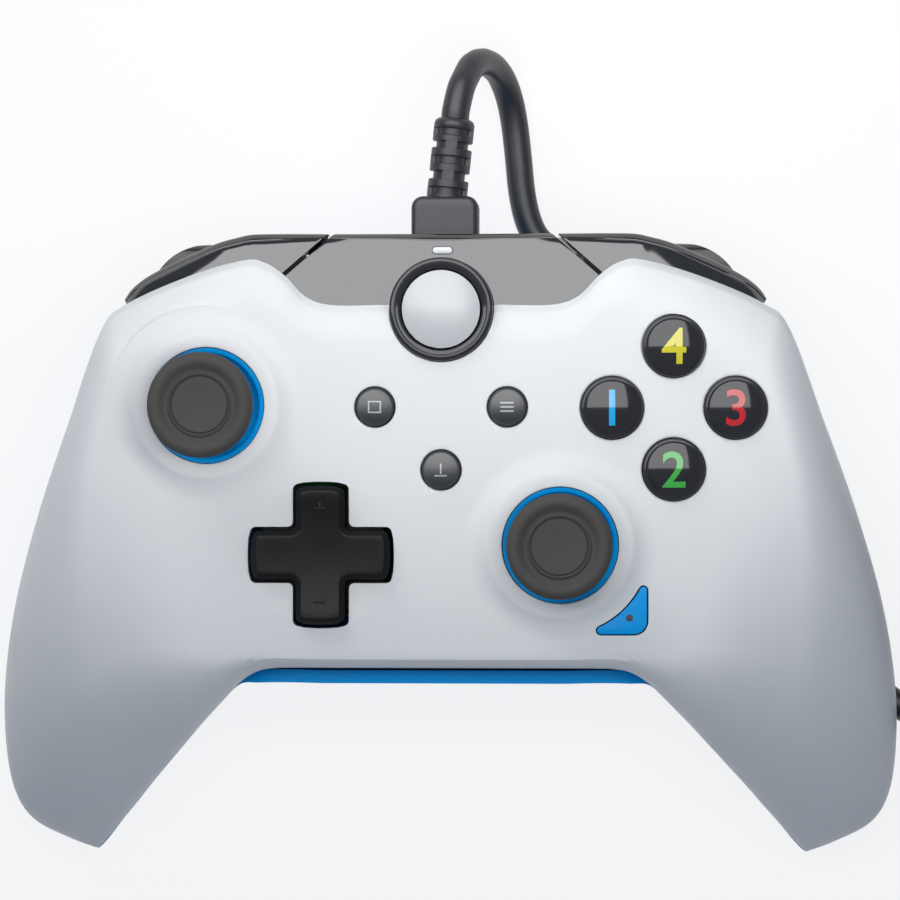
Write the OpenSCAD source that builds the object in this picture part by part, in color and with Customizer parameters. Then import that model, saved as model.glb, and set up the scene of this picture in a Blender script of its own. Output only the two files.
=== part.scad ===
// Wired gamepad controller: a two-piece moulded housing, its controls, the
// works inside it and its cord, coiled beside it. Lengths are in millimetres.
// Every piece is drawn with the front face at zero height, then set on the table.

/* [Housing] */
// Widest span across the two grips
body_width = 155; // [154:0.5:157]
// Distance from the grip tips to the rear edge
body_depth = 107; // [106:0.5:108]
// Height of the front face above the table
face_height = 40; // [39.5:0.5:42]
// Wall thickness of the moulded shells
wall = 2.2; // [1.8:0.1:2.4]
// Gap along the seam between the two shells
seam_gap = 0.15; // [0.1:0.05:0.3]
// Height of the raised collar round each stick
collar_height = 1.5; // [0.8:0.1:1.6]
// Width of the chamfer along the front shell's rear edge
rim_chamfer = 1.2; // [0.8:0.1:1.6]
// Depth of the round dish under the direction pad
dish_depth = 0.6; // [0.3:0.1:0.8]
// Corner radius of the accent insert
accent_corner = 0.55; // [0.5:0.05:0.8]

/* [Rear pieces] */
// Thickness of the centre panel and the bumpers
brow_wall = 1.8; // [1.4:0.1:2]
// Rounding along their rear edge
brow_round = 1.25; // [1:0.05:1.6]
// Width of the joint between the centre panel and a bumper
brow_joint = 1; // [0.8:0.1:1.2]
// Gap between the front shell's rim and the pieces tucked below it
rim_gap = 0.45; // [0.35:0.05:0.55]
// Radius of the pin that a bumper turns on
bumper_pin_r = 1.25; // [1:0.05:1.5]
// Radius of the pin that a trigger turns on
trigger_pin_r = 1.25; // [1:0.05:1.4]
// Wall thickness of a trigger
trigger_wall = 2.2; // [1.8:0.1:2.6]

/* [Buttons] */
// Radius of a face button
face_r = 5.1; // [4.8:0.05:5.3]
// Distance from the middle of the face button diamond to each button
face_pitch = 10.25; // [10.1:0.05:10.6]
// Height of a face button above the face
face_rise = 2; // [1.4:0.1:2.4]
// Radius of the view, menu and share buttons
key_r = 3.2; // [2.8:0.1:3.4]
// Height of those three above the face
key_rise = 0.9; // [0.6:0.1:1.2]
// Radius of the guide button's dome
guide_r = 6.5; // [6:0.1:6.6]
// Outer radius of the ring round the guide button
bezel_r = 8.65; // [8.2:0.05:8.8]
// Running gap round every button
button_gap = 0.25; // [0.2:0.05:0.3]
// Gap between the shell and the flange of a round key
flange_gap = 0.7; // [0.6:0.05:0.8]

/* [Direction pad] */
// Length of the cross from tip to tip
dpad_span = 23.2; // [22:0.2:24]
// Width of one arm
dpad_arm = 8.1; // [7.4:0.1:8.6]
// Height of the arm tips above the face
dpad_rise = 2.2; // [1.6:0.1:2.6]
// Gap between the cross and the shell
dpad_gap = 0.65; // [0.6:0.05:0.8]
// Radius of the ball it rocks on
dpad_ball_r = 1.8; // [1.6:0.1:2]

/* [Sticks] */
// Radius of a stick cap
cap_r = 8.7; // [8.2:0.1:8.9]
// Height of a stick cap above the face
cap_rise = 12; // [11.8:0.1:13]
// Radius of the hole that a stick stands in
well_r = 9.75; // [9.6:0.05:9.9]
// Radius of the stick's shaft
shaft_r = 1.8; // [1.6:0.1:2]
// Running clearance of turning and sliding fits
fit = 0.06; // [0.04:0.01:0.1]

/* [Inner works] */
// Thickness of the main board
board_t = 1.6; // [1.2:0.1:1.6]
// Radius of a rumble motor's can
motor_r = 7.5; // [7:0.1:7.6]
// Radius of a rumble motor's off-centre weight
weight_r = 8; // [7:0.1:8.2]
// Radius of the headset jack's bore
jack_r = 1.8; // [1.75:0.05:1.85]
// Radius of a screw's shank
screw_r = 1.4; // [1.2:0.1:1.5]

/* [Cord] */
// Diameter of the cord
cord_d = 4.8; // [4.4:0.1:4.8]
// Distance from one turn of the coil to the next
cord_pitch = 5.3; // [5.3:0.05:5.5]
// Outer radius of the coil at the middle of the cord
coil_r = 33; // [32.5:0.25:33.5]
// Turns in the coil
coil_turns = 14.25; // [12.25:1:14.25]

/* [Hidden] */

// Scale of the listed stations, which are drawn for the sizes given here
sx = body_width / 155;
sy = body_depth / 107;
sz = face_height / 40;
// Rear edge and grip tips of the housing, and the shift that centres them
rear_y = 39.8 * sy;
tip_y = -67.1 * sy;
plan_shift = -(rear_y + tip_y) / 2;
// Pieces at the rear edge follow it
rear_shift = rear_y - 39.8;
// Pieces beside the bumper pins follow them
side_shift = 28 * sx - 28;

// Stations of the front shell from the middle to the grip tip: upper or outer
// edge (x, y, z), lower or inner edge (x, y, z), height of the surface between,
// then how far in from each edge the surface takes to reach that height
front_rows = [
  [0, 27.6, -2.2, 0, -33.5, -9, 0, 6, 10],
  [10, 27.6, -2.2, 10, -33.5, -9, 0, 6, 10],
  [18, 27.6, -2.2, 18, -33.5, -9, 0, 6, 10],
  [22, 29, -2.3, 22, -33.5, -9, 0, 6, 10],
  [25.5, 32.6, -2.6, 25.5, -33.5, -9, 0, 6.5, 10],
  [29, 34.8, -3, 28.5, -33.6, -9.2, 0, 7, 10],
  [33, 35.2, -3.6, 31.5, -34.2, -9.7, 0, 8, 11],
  [43, 32.6, -5.4, 34.5, -36, -10.7, 0, 10, 12],
  [54, 28, -8.4, 37, -38.5, -12.2, 0, 12, 14],
  [58.5, 23.7, -10.5, 39, -40.6, -13.8, 0, 12, 15],
  [64.3, 8.5, -14, 42, -43.8, -16, -0.8, 13, 18],
  [70, -7, -17, 45, -47.2, -18.5, -3, 18, 20],
  [74.6, -22.5, -20, 48, -50.5, -21, -6.5, 22, 20],
  [77, -36, -23, 51, -53.9, -24, -11, 22, 19],
  [77.5, -47, -26, 54, -57.5, -27, -16, 20, 16],
  [76.5, -56, -29, 57, -61, -29.5, -21.5, 15, 12],
  [73.5, -61.5, -31, 59.5, -64, -31.5, -26.5, 9, 8],
  [67.5, -65, -33, 61.5, -66.2, -33, -30.4, 5, 4.5],
  [63.5, -66.6, -34, 62.4, -67, -34, -32.6, 2, 2]];

// Stations of the back shell, in the same order
back_rows = [
  [0, 39, -12.4, 0, -36.2, -9.2, -40, 18, 34],
  [10, 39, -12.4, 10, -36.2, -9.2, -40, 18, 34],
  [16, 39, -12.4, 16, -36.2, -9.2, -40, 18, 34],
  [21, 37.6, -12.8, 20.5, -36.2, -9.2, -39, 17, 34],
  [25, 34, -15, 25, -36.1, -9.3, -34.5, 15, 32],
  [28, 30.2, -18.4, 28.5, -36.2, -9.6, -30, 14, 30],
  [32, 27, -19.2, 31.5, -36.6, -10.1, -27.5, 13, 28],
  [41, 25.2, -19.4, 34.8, -37.8, -11.1, -26.5, 13, 28],
  [52, 24.6, -18.6, 37.4, -39.6, -12.6, -27.5, 15, 26],
  [58.3, 21.6, -14, 39.4, -41.6, -14.1, -29, 20, 24],
  [64.3, 8.5, -14.2, 42.3, -44.6, -16.2, -30.5, 24, 22],
  [70, -7, -17.2, 45.2, -47.7, -18.7, -32, 26, 20],
  [74.6, -22.5, -20.2, 48.2, -50.9, -21.2, -33.5, 24, 18],
  [77, -36, -23.2, 51.2, -54.2, -24.2, -35.5, 22, 16],
  [77.5, -47, -26.2, 54.2, -57.7, -27.2, -38, 19, 14],
  [76.5, -56, -29.2, 57.2, -61.2, -29.7, -40, 14, 11],
  [73.5, -61.5, -31.2, 59.6, -64.2, -31.7, -39.6, 9, 8],
  [67.5, -65, -33.2, 61.5, -66.4, -33.2, -37.5, 5, 4.5],
  [63.5, -66.7, -34.2, 62.4, -67.1, -34.2, -35.5, 3, 3]];
last = len(front_rows) - 1;
// Columns drawn from the middle to a grip tip, and steps across the shell
columns = 32;
steps = 16;
// Stations that the inner face stops short of the tip
tip_pull = 0.9;

// Rear edge of the bumpers from the joint to the outer end: x, y, top height
bumper_rear = [[19.6, 39.8, -6], [26, 39.8, -6.2], [30, 39.8, -6.5], [33.6, 39.4, -6.9],
  [38.4, 38.2, -7.4], [43.2, 36.5, -8.2], [47.8, 34.4, -8.9], [51.2, 32.6, -9.5], [53.4, 30.8, -10.2],
  [54.7, 28.9, -11]];
// Station of the front shell that each of those stands behind
bumper_front = [4.4, 5, 5.5, 6, 6.5, 7, 7.4, 7.7, 7.83, 7.92];
// Depth that the front edges reach under the rim
tuck = 1.4;
// Height of the foot of the skirts
skirt_z = -11.9;

// Places of the controls on the face
function placed(x, y) = [x * sx, y * sy];
guide_at = placed(0, 26.8);
light_at = guide_at + [0, bezel_r + 1.45];
view_at = placed(-11.05, 10.5);
menu_at = placed(11.05, 10.5);
share_at = [0, 0];
face_at = placed(38.75, 10.35);
dpad_at = placed(-20.1, -14.2);
left_stick_at = placed(-39.2, 10.75);
right_stick_at = placed(19.9, -12.5);
accent_light_at = right_stick_at + [11.5, -12.1];
button_places = [[0, face_pitch], [face_pitch, 0], [0, -face_pitch], [-face_pitch, 0]];

// Heights inside the housing
board_z = -13;
stick_z = -7.5;
dpad_ball_z = -3.4;
frame_z = -17 * sz;
frame_t = 2;
floor_z = -face_height + wall;
// Trigger and bumper pivots
trigger_axis = [28.5 + rear_shift, -15.2 * sz];
bumper_axis = [28 * sx, 35.2 + rear_shift];
// Lugs that hold a trigger's pin: near and far edge of each across the body
lug_inner = [28.2 + side_shift, 30.2 + side_shift];
lug_outer = [45.2 + side_shift, 47.2 + side_shift];
// Arm of the bumper pin: above the trigger pin, below the bumper
arm_z = trigger_axis[1] + 1.8;
arm_top = -10.4;
// Rumble motors
motor_at = [55 * sx, -18.5 * sz];
motor_len = 18;
motor_y = [-30 * sy, -30 * sy + motor_len];
// Screws: hump posts and grip posts
hump_posts = [placed(-12, 16), placed(12, 16), placed(-12, 1.5), placed(12, 1.5)];
grip_posts = [placed(-63, -44), placed(63, -44)];
board_posts = [placed(-22, 18), placed(22, 18), placed(-22, -16), placed(22, -16)];
hump_screw_z = floor_z + 3.8;
grip_screw_z = -29 * sz;
// Headset jack: mouth and height
jack_y = -36 * sy;
jack_z = -17.1;
jack_len = 15.5;
// Cord outlet
outlet_z = -16.2;
plug_y = [rear_y - 0.2, rear_y + 6.8];
relief_len = 13.5;
relief_lean = 6;
cord_r = cord_d / 2;
coil_lift = 0.8;
coil_at = [121, -15];

// Route of the lead from the strain relief to the coil: x, y on the face's
// grid, height above the table
lead_route = [[2.6, 65.4, 22.6], [4.2, 69.4, 18.5], [6.3, 70.8, 13.2], [8.6, 69.4, 7.8],
  [10.3, 65.4, 3.8], [11.3, 60, 2.4], [12, 53.5, 2.4], [12.8, 47, 2.4], [15, 41, 2.4],
  [20.4, 37, 2.4], [27.8, 34.6, 2.4], [35.5, 31.2, 2.4], [42.2, 24.6, 2.4], [46, 14, 2.4],
  [49, 2, 2.4], [51.5, -9, 2.4], [56, -19, 2.4], [63.5, -28, 2.4], [73, -34, 2.4],
  [83, -38.5, 2.4], [93, -43, 2.6], [103, -46.8, 3]];
// Route of the tail from the coil to the plug
tail_route = [[154, -4, 18.6], [154.1, 4, 15.5], [154.3, 12, 10.5], [154.5, 19, 6.2]];
usb_plug_at = [154.5, 25];
usb_plug_len = 26;
usb_plug_h = 8;

// Smooth curve through listed rows
function curve(a, b, c, d, t) =
  0.5 * (2 * b + (c - a) * t + (2 * a - 5 * b + 4 * c - d) * t * t + (3 * b - a - 3 * c + d) * t * t * t);
function along(rows, s) =
  let (n = len(rows) - 1, k = max(0, min(n - 1, floor(s))))
  curve(rows[max(0, k - 1)], rows[k], rows[k + 1], rows[min(n, k + 2)], s - k);
// Quarter round from an edge
function rise(t) = let (q = 1 - min(1, max(0, t))) sqrt(1 - q * q);
function ease(t) = let (q = min(1, max(0, t))) q * q * (3 - 2 * q);
function scaled(r) = [r[0] * sx, r[1] * sy, r[2] * sz, r[3] * sx, r[4] * sy, r[5] * sz,
  min(0, max(-40, r[6])) * sz, r[7], r[8]];
// Station of a shell, with the back shell's edges lowered by the seam
function station(rows, s, down) = let (r = scaled(along(rows, s)), g = down ? seam_gap : 0)
  [r[0], r[1], r[2] - g, r[3], r[4], r[5] - g, r[6], r[7], r[8]];
// Station moved in by the wall, for the inner face, less where the grip tip narrows
function hollow(r) =
  let (run = [r[3] - r[0], r[4] - r[1]], dir = run / norm(run), in = min(wall, norm(run) / 3),
    edge = (r[2] + r[5]) / 2, lift = r[6] - edge)
  [r[0] + dir[0] * in, r[1] + dir[1] * in, r[2], r[3] - dir[0] * in, r[4] - dir[1] * in, r[5],
   edge + sign(lift) * max(abs(lift) / 4, abs(lift) - wall), max(0.5, r[7] - in), max(0.5, r[8] - in)];
// Chamfer that rises half way, then a soft swell up to the face
function chamfered(d, r) = let (c = min(rim_chamfer, r / 3), t = min(1, (d - c) / (r - c)))
  d < c ? 0.5 * d / c : 1 - 0.5 * (1 - t) * (1 - t);
// Share of the chamfer at a station: whole along the rear, none on the grips
function chamfer_at(s) = 1 - ease((s - 9) / 2);
// Point of a shell at a station and a fraction across it, with its share of the chamfer
function shell_point(r, w, c) =
  let (run = norm([r[3] - r[0], r[4] - r[1]]), edge = r[2] + (r[5] - r[2]) * w,
    up = (1 - c) * rise(w * run / r[7]) + c * chamfered(w * run, r[7]))
  [r[0] + (r[3] - r[0]) * w, r[1] + (r[4] - r[1]) * w, edge + (r[6] - edge) * up * rise((1 - w) * run / r[8])];
function short_of(s) = s - tip_pull * pow(s / last, 6);
function side_of(p, i) = [i < 0 ? -p[0] : p[0], p[1], p[2]];
function across(j) = (1 - cos(180 * j / steps)) / 2;
function outer_grid(rows, down) = [for (i = [-columns:columns])
  let (s = abs(i) * last / columns, r = station(rows, s, down), c = down ? 0 : chamfer_at(s))
  for (j = [0:steps]) side_of(shell_point(r, across(j), c), i)];
function inner_grid(rows, down) = [for (i = [-columns:columns])
  let (r = hollow(station(rows, short_of(abs(i) * last / columns), down)))
  for (j = [0:steps]) side_of(shell_point(r, across(j), 0), i)];

// Closed moulded shell: outer face, inner face and the rim between them
module shell(rows, down) {
  n = steps + 1;
  m = 2 * columns + 1;
  base = n * m;
  outer = [for (i = [0:m - 2], j = [0:n - 2]) each [
    [i * n + j, i * n + j + 1, (i + 1) * n + j], [i * n + j + 1, (i + 1) * n + j + 1, (i + 1) * n + j]]];
  inner = [for (f = outer) [f[2] + base, f[1] + base, f[0] + base]];
  ring = concat([for (i = [0:m - 2]) i * n], [for (j = [0:n - 2]) (m - 1) * n + j],
    [for (i = [m - 1:-1:1]) i * n + n - 1], [for (j = [n - 1:-1:1]) j]);
  c = len(ring);
  rim = [for (k = [0:c - 1]) let (a = ring[k], b = ring[(k + 1) % c]) each [
    [a, b, a + base], [b, b + base, a + base]]];
  faces = concat(outer, inner, rim);
  polyhedron(concat(outer_grid(rows, down), inner_grid(rows, down)),
    down ? faces : [for (f = faces) [f[2], f[1], f[0]]], convexity = 8);
}

// Solid through a row of closed loops
module skin(loops) {
  n = len(loops[0]);
  m = len(loops);
  sides = [for (i = [0:m - 2], j = [0:n - 1]) let (k = (j + 1) % n) each [
    [i * n + j, i * n + k, (i + 1) * n + j], [i * n + k, (i + 1) * n + k, (i + 1) * n + j]]];
  polyhedron([for (l = loops) each l],
    concat(sides, [[for (j = [n - 1:-1:0]) j]], [[for (j = [0:n - 1]) (m - 1) * n + j]]), convexity = 8);
}

// Tube along a route, its rings carried along without twist
function unit(v) = v / norm(v);
function heading(p, i) = unit(p[min(len(p) - 1, i + 1)] - p[max(0, i - 1)]);
function square_to(v, t) = unit(v - t * (v * t));
function tube_rings(p, r, sides, start, end) =
  let (t = [for (i = [0:len(p) - 1]) i == 0 ? unit(start) : i == len(p) - 1 ? unit(end) : heading(p, i)])
  [for (i = 0, n = square_to([0, 0.3, 1], t[0]); i < len(p);
        i = i + 1, n = i < len(p) ? square_to(n, t[i]) : n)
    [for (k = [0:sides - 1]) p[i] + r * (n * cos(360 * k / sides) - cross(t[i], n) * sin(360 * k / sides))]];
module tube(p, r, sides, start, end) skin(tube_rings(p, r, sides, start, end));
function smooth_route(rows, per) =
  [for (i = [0:(len(rows) - 1) * per]) along(rows, i / per)];
function length_of(p, i = 0, sum = 0) =
  i >= len(p) - 1 ? sum : length_of(p, i + 1, sum + norm(p[i + 1] - p[i]));

// Coil: spiral in and out by turns, a layer higher at each reversal
layer_turns = coil_turns / 4;
function coil_layer(a) = min(3, floor(a / layer_turns));
function coil_radius(a) =
  let (k = coil_layer(a), f = a - k * layer_turns)
  coil_r - cord_pitch * (k % 2 == 0 ? f : layer_turns - f);
function coil_height(a) = coil_lift + cord_r + cord_pitch * (ease((a - layer_turns) * 2 + 0.5)
  + ease((a - 2 * layer_turns) * 2 + 0.5) + ease((a - 3 * layer_turns) * 2 + 0.5));
function coil_point(a) = [coil_at[0] + coil_radius(a) * cos(270 + 360 * a),
  coil_at[1] + coil_radius(a) * sin(270 + 360 * a), coil_height(a)];
coil_start = coil_point(0) - [cord_d, 0, 0];
coil_end = coil_point(coil_turns) + [0, cord_d, 0];
coil_route = concat([coil_start], [for (i = [0:round(coil_turns * 24)]) coil_point(i / 24)], [coil_end]);
function to_piece(p, a, b) = let (d = b - a, t = min(1, max(0, (p - a) * d / (d * d)))) norm(p - a - d * t);
coil_gap = min([for (i = [0:3:len(coil_route) - 20], j = [i + 18:len(coil_route) - 2])
  to_piece(coil_route[i], coil_route[j], coil_route[j + 1])]) - cord_d;

relief_dir = [sin(relief_lean), cos(relief_lean), 0];
relief_end = [0.2, plug_y[1], face_height + outlet_z] + relief_dir * relief_len;
lead_points = concat([relief_end, relief_end + relief_dir * 1.5], smooth_route(lead_route, 2),
  [coil_start - [3, 0, 0], coil_start]);
tail_points = concat([coil_end, coil_end + [0, 2, 0]], smooth_route(tail_route, 2),
  [[usb_plug_at[0], usb_plug_at[1] - 2, usb_plug_h / 2], [usb_plug_at[0], usb_plug_at[1], usb_plug_h / 2]]);
echo(least_gap_in_coil = coil_gap);
echo(cord_length = length_of(lead_points) + length_of(coil_route) + length_of(tail_points));
echo(plan_shift = plan_shift);

// Sets a piece that is drawn on the face's grid in its place on the table
module on_table() translate([0, plan_shift, face_height]) children();
module at(p) translate([p[0], p[1], 0]) children();
// Right-hand piece, and its mirror image on the left
module left_side() mirror([1, 0, 0]) children();

// Section of a glossy rear piece from under the rim to the foot of its skirt
function brow_loop(p, q, zf, zr, zb) =
  let (run = norm(q - p), e = (q - p) / run, r = min(brow_round, 0.45 * run), t = min(brow_wall, 0.4 * run),
    mid = 0.45 * (run - r), zm = zf + (zr - zf) * 0.45 + 0.3, ri = max(0.3, r - t),
    path = concat([[0, zf], [mid, zm]], [for (a = [0:22.5:90]) [run - r + r * sin(a), zr - r + r * cos(a)]],
      [[run, zb], [run - t, zb]], [for (a = [90:-45:0]) [run - t - ri + ri * sin(a), zr - t - ri + ri * cos(a)]],
      [[mid, zm - t], [0, zf - t]]))
  [for (d = path) [p[0] + e[0] * d[0], p[1] + e[1] * d[0], d[1]]];
function rim_at(s) = scaled(along(front_rows, s));
function tucked(s) = let (r = rim_at(s)) [r[0], r[1] - tuck, r[2] - rim_gap];
function bumper_loop(k) =
  let (f = tucked(along(bumper_front, k)), q = along(bumper_rear, k))
  brow_loop([f[0], f[1]], [q[0] * sx, q[1] * sy], f[2], q[2], skirt_z);
// Centre panel sections run from one joint to the other
panel_cut = bumper_front[0] - 0.08;
function panel_loop(k) =
  let (f = tucked(panel_cut * abs(k)), q = [(bumper_rear[0][0] * sx - brow_joint) * abs(k), rear_y],
    l = brow_loop([f[0] - brow_joint * abs(k) * 0.6, f[1]], q, f[2], bumper_rear[0][2], skirt_z))
  [for (p = l) [k < 0 ? -p[0] : p[0], p[1], p[2]]];

module front_shell() color("whitesmoke") on_table() difference() {
  union() {
    shell(front_rows, false);
    for (c = [left_stick_at, right_stick_at]) at(c) stick_collar();
    for (p = grip_posts) translate([p[0], p[1], grip_screw_z + 2]) cylinder(h = 14 * sz, r = 3, $fn = 48);
  }
  for (c = [left_stick_at, right_stick_at]) at(c) drill(well_r, 0);
  for (p = button_places) at(face_at + p) drill(face_r + button_gap, 0.35);
  for (p = [view_at, menu_at, share_at]) at(p) drill(key_r + button_gap, 0.25);
  at(guide_at) drill(bezel_r + 0.15, 0);
  at(dpad_at) dish();
  at(dpad_at) translate([0, 0, -6]) linear_extrude(12) offset(r = dpad_gap) dpad_cross();
  translate([0, 0, -6]) linear_extrude(12) offset(r = 0.12) accent_shape();
  for (p = grip_posts) translate([p[0], p[1], grip_screw_z + 1]) cylinder(h = 10, r = screw_r + fit, $fn = 32);
}
module drill(r, c) {
  translate([0, 0, -6]) cylinder(h = 12, r = r, $fn = 96);
  if (c > 0) translate([0, 0, -c]) cylinder(h = 2 * c, r1 = r, r2 = r + 2 * c, $fn = 96);
}
module dish() {
  edge = 12.2;
  ball = (edge * edge + dish_depth * dish_depth) / (2 * dish_depth);
  translate([0, 0, ball - dish_depth]) sphere(r = ball, $fn = 96);
}
module stick_collar() rotate_extrude($fn = 96) polygon([[well_r - 0.6, -1], [well_r - 0.6, collar_height - 0.3],
  [well_r + 0.25, collar_height - 0.08], [well_r + 1, collar_height], [well_r + 1.9, collar_height - 0.03],
  [well_r + 2.35, collar_height - 0.12], [well_r + 2.7, collar_height * 0.8], [well_r + 3.2, collar_height * 0.55],
  [well_r + 3.9, collar_height * 0.3], [well_r + 4.8, collar_height * 0.12], [well_r + 5.9, collar_height * 0.03],
  [well_r + 7, -0.02], [well_r + 7, -1]]);
module dpad_cross() offset(r = -1.3) offset(delta = 1.3) offset(r = 1.3) offset(delta = -1.3) {
  square([dpad_span, dpad_arm], center = true);
  square([dpad_arm, dpad_span], center = true);
}
// Corner piece beside the right stick: square outside, hollowed round the collar
module accent_shape() offset(r = accent_corner, $fn = 32) offset(delta = -accent_corner) difference() {
  translate(right_stick_at) polygon([[4.1, -14.8], [14.4, -14.8], [14.4, -5.5]]);
  translate(right_stick_at) circle(r = 15.1, $fn = 160);
}
// Height of the flange: under the shell's inner face at the flange's lower edge
accent_lip = 0.9;
accent_seat = let (low = front_rows[4], edge = low[5] * sz, y = right_stick_at[1] - 14.8 - accent_lip)
  edge - (wall + edge) * rise((y - low[4] * sy - wall) / (low[8] - wall)) - 0.4;
accent_foot = accent_seat - 0.9;
// Room under a level top that turns down as the shell's lower edge does
module accent_room() {
  lower = front_rows[4];
  turn = [lower[4] * sy + lower[8], lower[5] * sz];
  translate([right_stick_at[0], turn[0], -8]) cube([20, 20, 8.15]);
  translate([right_stick_at[0], turn[0], turn[1]]) rotate([0, 90, 0]) cylinder(h = 20, r = 0.15 - turn[1], $fn = 96);
}

module back_shell() color("royalblue") on_table() difference() {
  union() {
    shell(back_rows, true);
    for (p = hump_posts) translate([p[0], p[1], floor_z - 0.6]) cylinder(h = 4.4, r = 4, $fn = 48);
    for (p = grip_posts) translate([p[0], p[1], grip_screw_z - 6.5 * sz]) cylinder(h = 6.5 * sz + 1.8, r = 4, $fn = 48);
  }
  for (p = hump_posts) screw_well(p, hump_screw_z);
  for (p = grip_posts) screw_well(p, grip_screw_z + 1.8);
  translate([-5.2, rear_y - 5.8, outlet_z - 2.4]) cube([10.4, 8, 4.8]);
  translate([0, jack_y - 4, jack_z]) rotate([-90, 0, 0]) cylinder(h = 10, r = 3.2, $fn = 64);
}
// Clearance hole and head recess of a screw whose post ends at height z
module screw_well(p, z) {
  translate([p[0], p[1], z - 1.8 - 20]) cylinder(h = 20, r = 2.7, $fn = 48);
  translate([p[0], p[1], z - 4]) cylinder(h = 8, r = screw_r + fit, $fn = 32);
}
module housing_screws() color("silver") on_table() {
  for (p = hump_posts) screw(p, hump_screw_z - 1.8);
  for (p = grip_posts) screw(p, grip_screw_z);
}
// Pan head below its seat at height z, shank above, cross cut in the head
module screw(p, z) translate([p[0], p[1], z]) difference() {
  union() {
    translate([0, 0, -1.6]) cylinder(h = 1.6, r = 2.4, $fn = 48);
    cylinder(h = 8, r = screw_r, $fn = 32);
  }
  for (a = [0, 90]) rotate([0, 0, a]) translate([-1.4, -0.3, -2]) cube([2.8, 0.6, 1.2]);
}

module centre_panel() color([0.1, 0.1, 0.11]) on_table() difference() {
  skin([for (k = [-6:6]) panel_loop(k / 6)]);
  at(guide_at) translate([0, 0, -20]) cylinder(h = 30, r = bezel_r + 0.15, $fn = 96);
  at(light_at) translate([0, 0, -20]) linear_extrude(30) light_pill(0.1);
}
module light_pill(g) {
  square([2.2, 1.2 + 2 * g], center = true);
  for (s = [-1.1, 1.1]) translate([s, 0]) circle(r = 0.6 + g, $fn = 48);
}
module status_light() color("white") on_table() at(light_at) translate([0, 0, -8.4]) linear_extrude(3.3) light_pill(0);

module bumper() difference() {
  union() {
    skin([for (k = [0:len(bumper_rear) - 1]) bumper_loop(k)]);
    translate([bumper_axis[0], bumper_axis[1], -9.6]) cylinder(h = 3, r = 2.5, $fn = 48);
    translate([bumper_axis[0] - 1.5, bumper_axis[1], -9.6]) cube([3, 3.5, 3]);
  }
  translate([bumper_axis[0], bumper_axis[1], -12]) cylinder(h = 5.5, r = bumper_pin_r + fit, $fn = 48);
}
module right_bumper() color([0.1, 0.1, 0.11]) on_table() bumper();
module left_bumper() color([0.1, 0.1, 0.11]) on_table() left_side() bumper();

// Ends of a trigger's hub, clear of its lugs and its spring
hub_x = [lug_inner[1] + 4.7, lug_outer[0] - 0.35];
// Trigger: outline from above and from the side, hollow towards the front
module trigger_plan(g) translate([side_shift, rear_shift]) difference() {
  union() {
    translate([30.7 + g, 20]) square([9.3 - g, 18.6 - g]);
    translate([39.5, 20]) square([11.3 - g, 7.8]);
    translate([40, 27.8]) circle(r = 10.8 - g, $fn = 96);
  }
  translate([28, 0]) square([20, 20]);
  translate([20, 10]) square([10.7 + g, 40]);
}
module trigger_side(g) translate([rear_shift, 0]) offset(delta = -g) polygon([[25.6, -12.8], [35.8, -12.8],
  [37.3, -13.3], [38.3, -14.6], [38.6, -17], [38.4, -20], [38, -23], [37.9, -26], [38.1, -28.6], [38.6, -31],
  [38.4, -31.8], [37.7, -32.2], [36.4, -31.6], [34.4, -28], [31.9, -22.6], [29.4, -18.4], [25.6, -16.4]]);
module along_x(x0, x1) translate([x0, 0, 0]) rotate([90, 0, 90]) linear_extrude(x1 - x0) children();
module trigger_blank(g) intersection() {
  translate([0, 0, -40]) linear_extrude(40) trigger_plan(g);
  along_x(30 + side_shift, 54 + side_shift) trigger_side(g);
}
module trigger() difference() {
  union() {
    difference() {
      trigger_blank(0);
      trigger_blank(trigger_wall);
      // Open front, with room for the pin lugs and the spring
      translate([30.7 + trigger_wall + side_shift, trigger_axis[0] - 4.5, -34]) cube([15.9, 6.4, 22]);
      translate([lug_inner[1], trigger_axis[0] - 8.5, trigger_axis[1] - 4.6]) cube([4.4, 12.2, 9]);
      translate([lug_outer[0] - 0.35, trigger_axis[0] - 8.5, trigger_axis[1] - 4.6]) cube([2.7, 12.2, 9]);
    }
    translate([hub_x[0], trigger_axis[0], trigger_axis[1]]) rotate([0, 90, 0])
      cylinder(h = hub_x[1] - hub_x[0], r = 2.7, $fn = 64);
    for (x = [hub_x[0], hub_x[1] - 2]) translate([x, trigger_axis[0], trigger_axis[1] - 1.5]) cube([2, 8.4, 3]);
  }
  translate([lug_inner[0], trigger_axis[0], trigger_axis[1]]) rotate([0, 90, 0])
    cylinder(h = 24, r = trigger_pin_r + fit, $fn = 64);
}
module right_trigger() color([0.13, 0.13, 0.14]) on_table() trigger();
module left_trigger() color([0.13, 0.13, 0.14]) on_table() left_side() trigger();
module trigger_pin() translate([lug_inner[0], trigger_axis[0], trigger_axis[1]]) rotate([0, 90, 0])
  cylinder(h = lug_outer[1] - lug_inner[0], r = trigger_pin_r, $fn = 64);
module right_trigger_pin() color("silver") on_table() trigger_pin();
module left_trigger_pin() color("silver") on_table() left_side() trigger_pin();
// Torsion spring: a wire wound round the pin beside the trigger's hub
spring_route = [for (i = [0:42]) [lug_inner[1] + 0.7 + 3.4 * i / 42, trigger_axis[0] + 2.1 * cos(30 * i),
  trigger_axis[1] + 2.1 * sin(30 * i)]];
module trigger_spring() tube(spring_route, 0.35, 6, spring_route[1] - spring_route[0], spring_route[42] - spring_route[41]);
module right_trigger_spring() color("gray") on_table() trigger_spring();
module left_trigger_spring() color("gray") on_table() left_side() trigger_spring();

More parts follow.
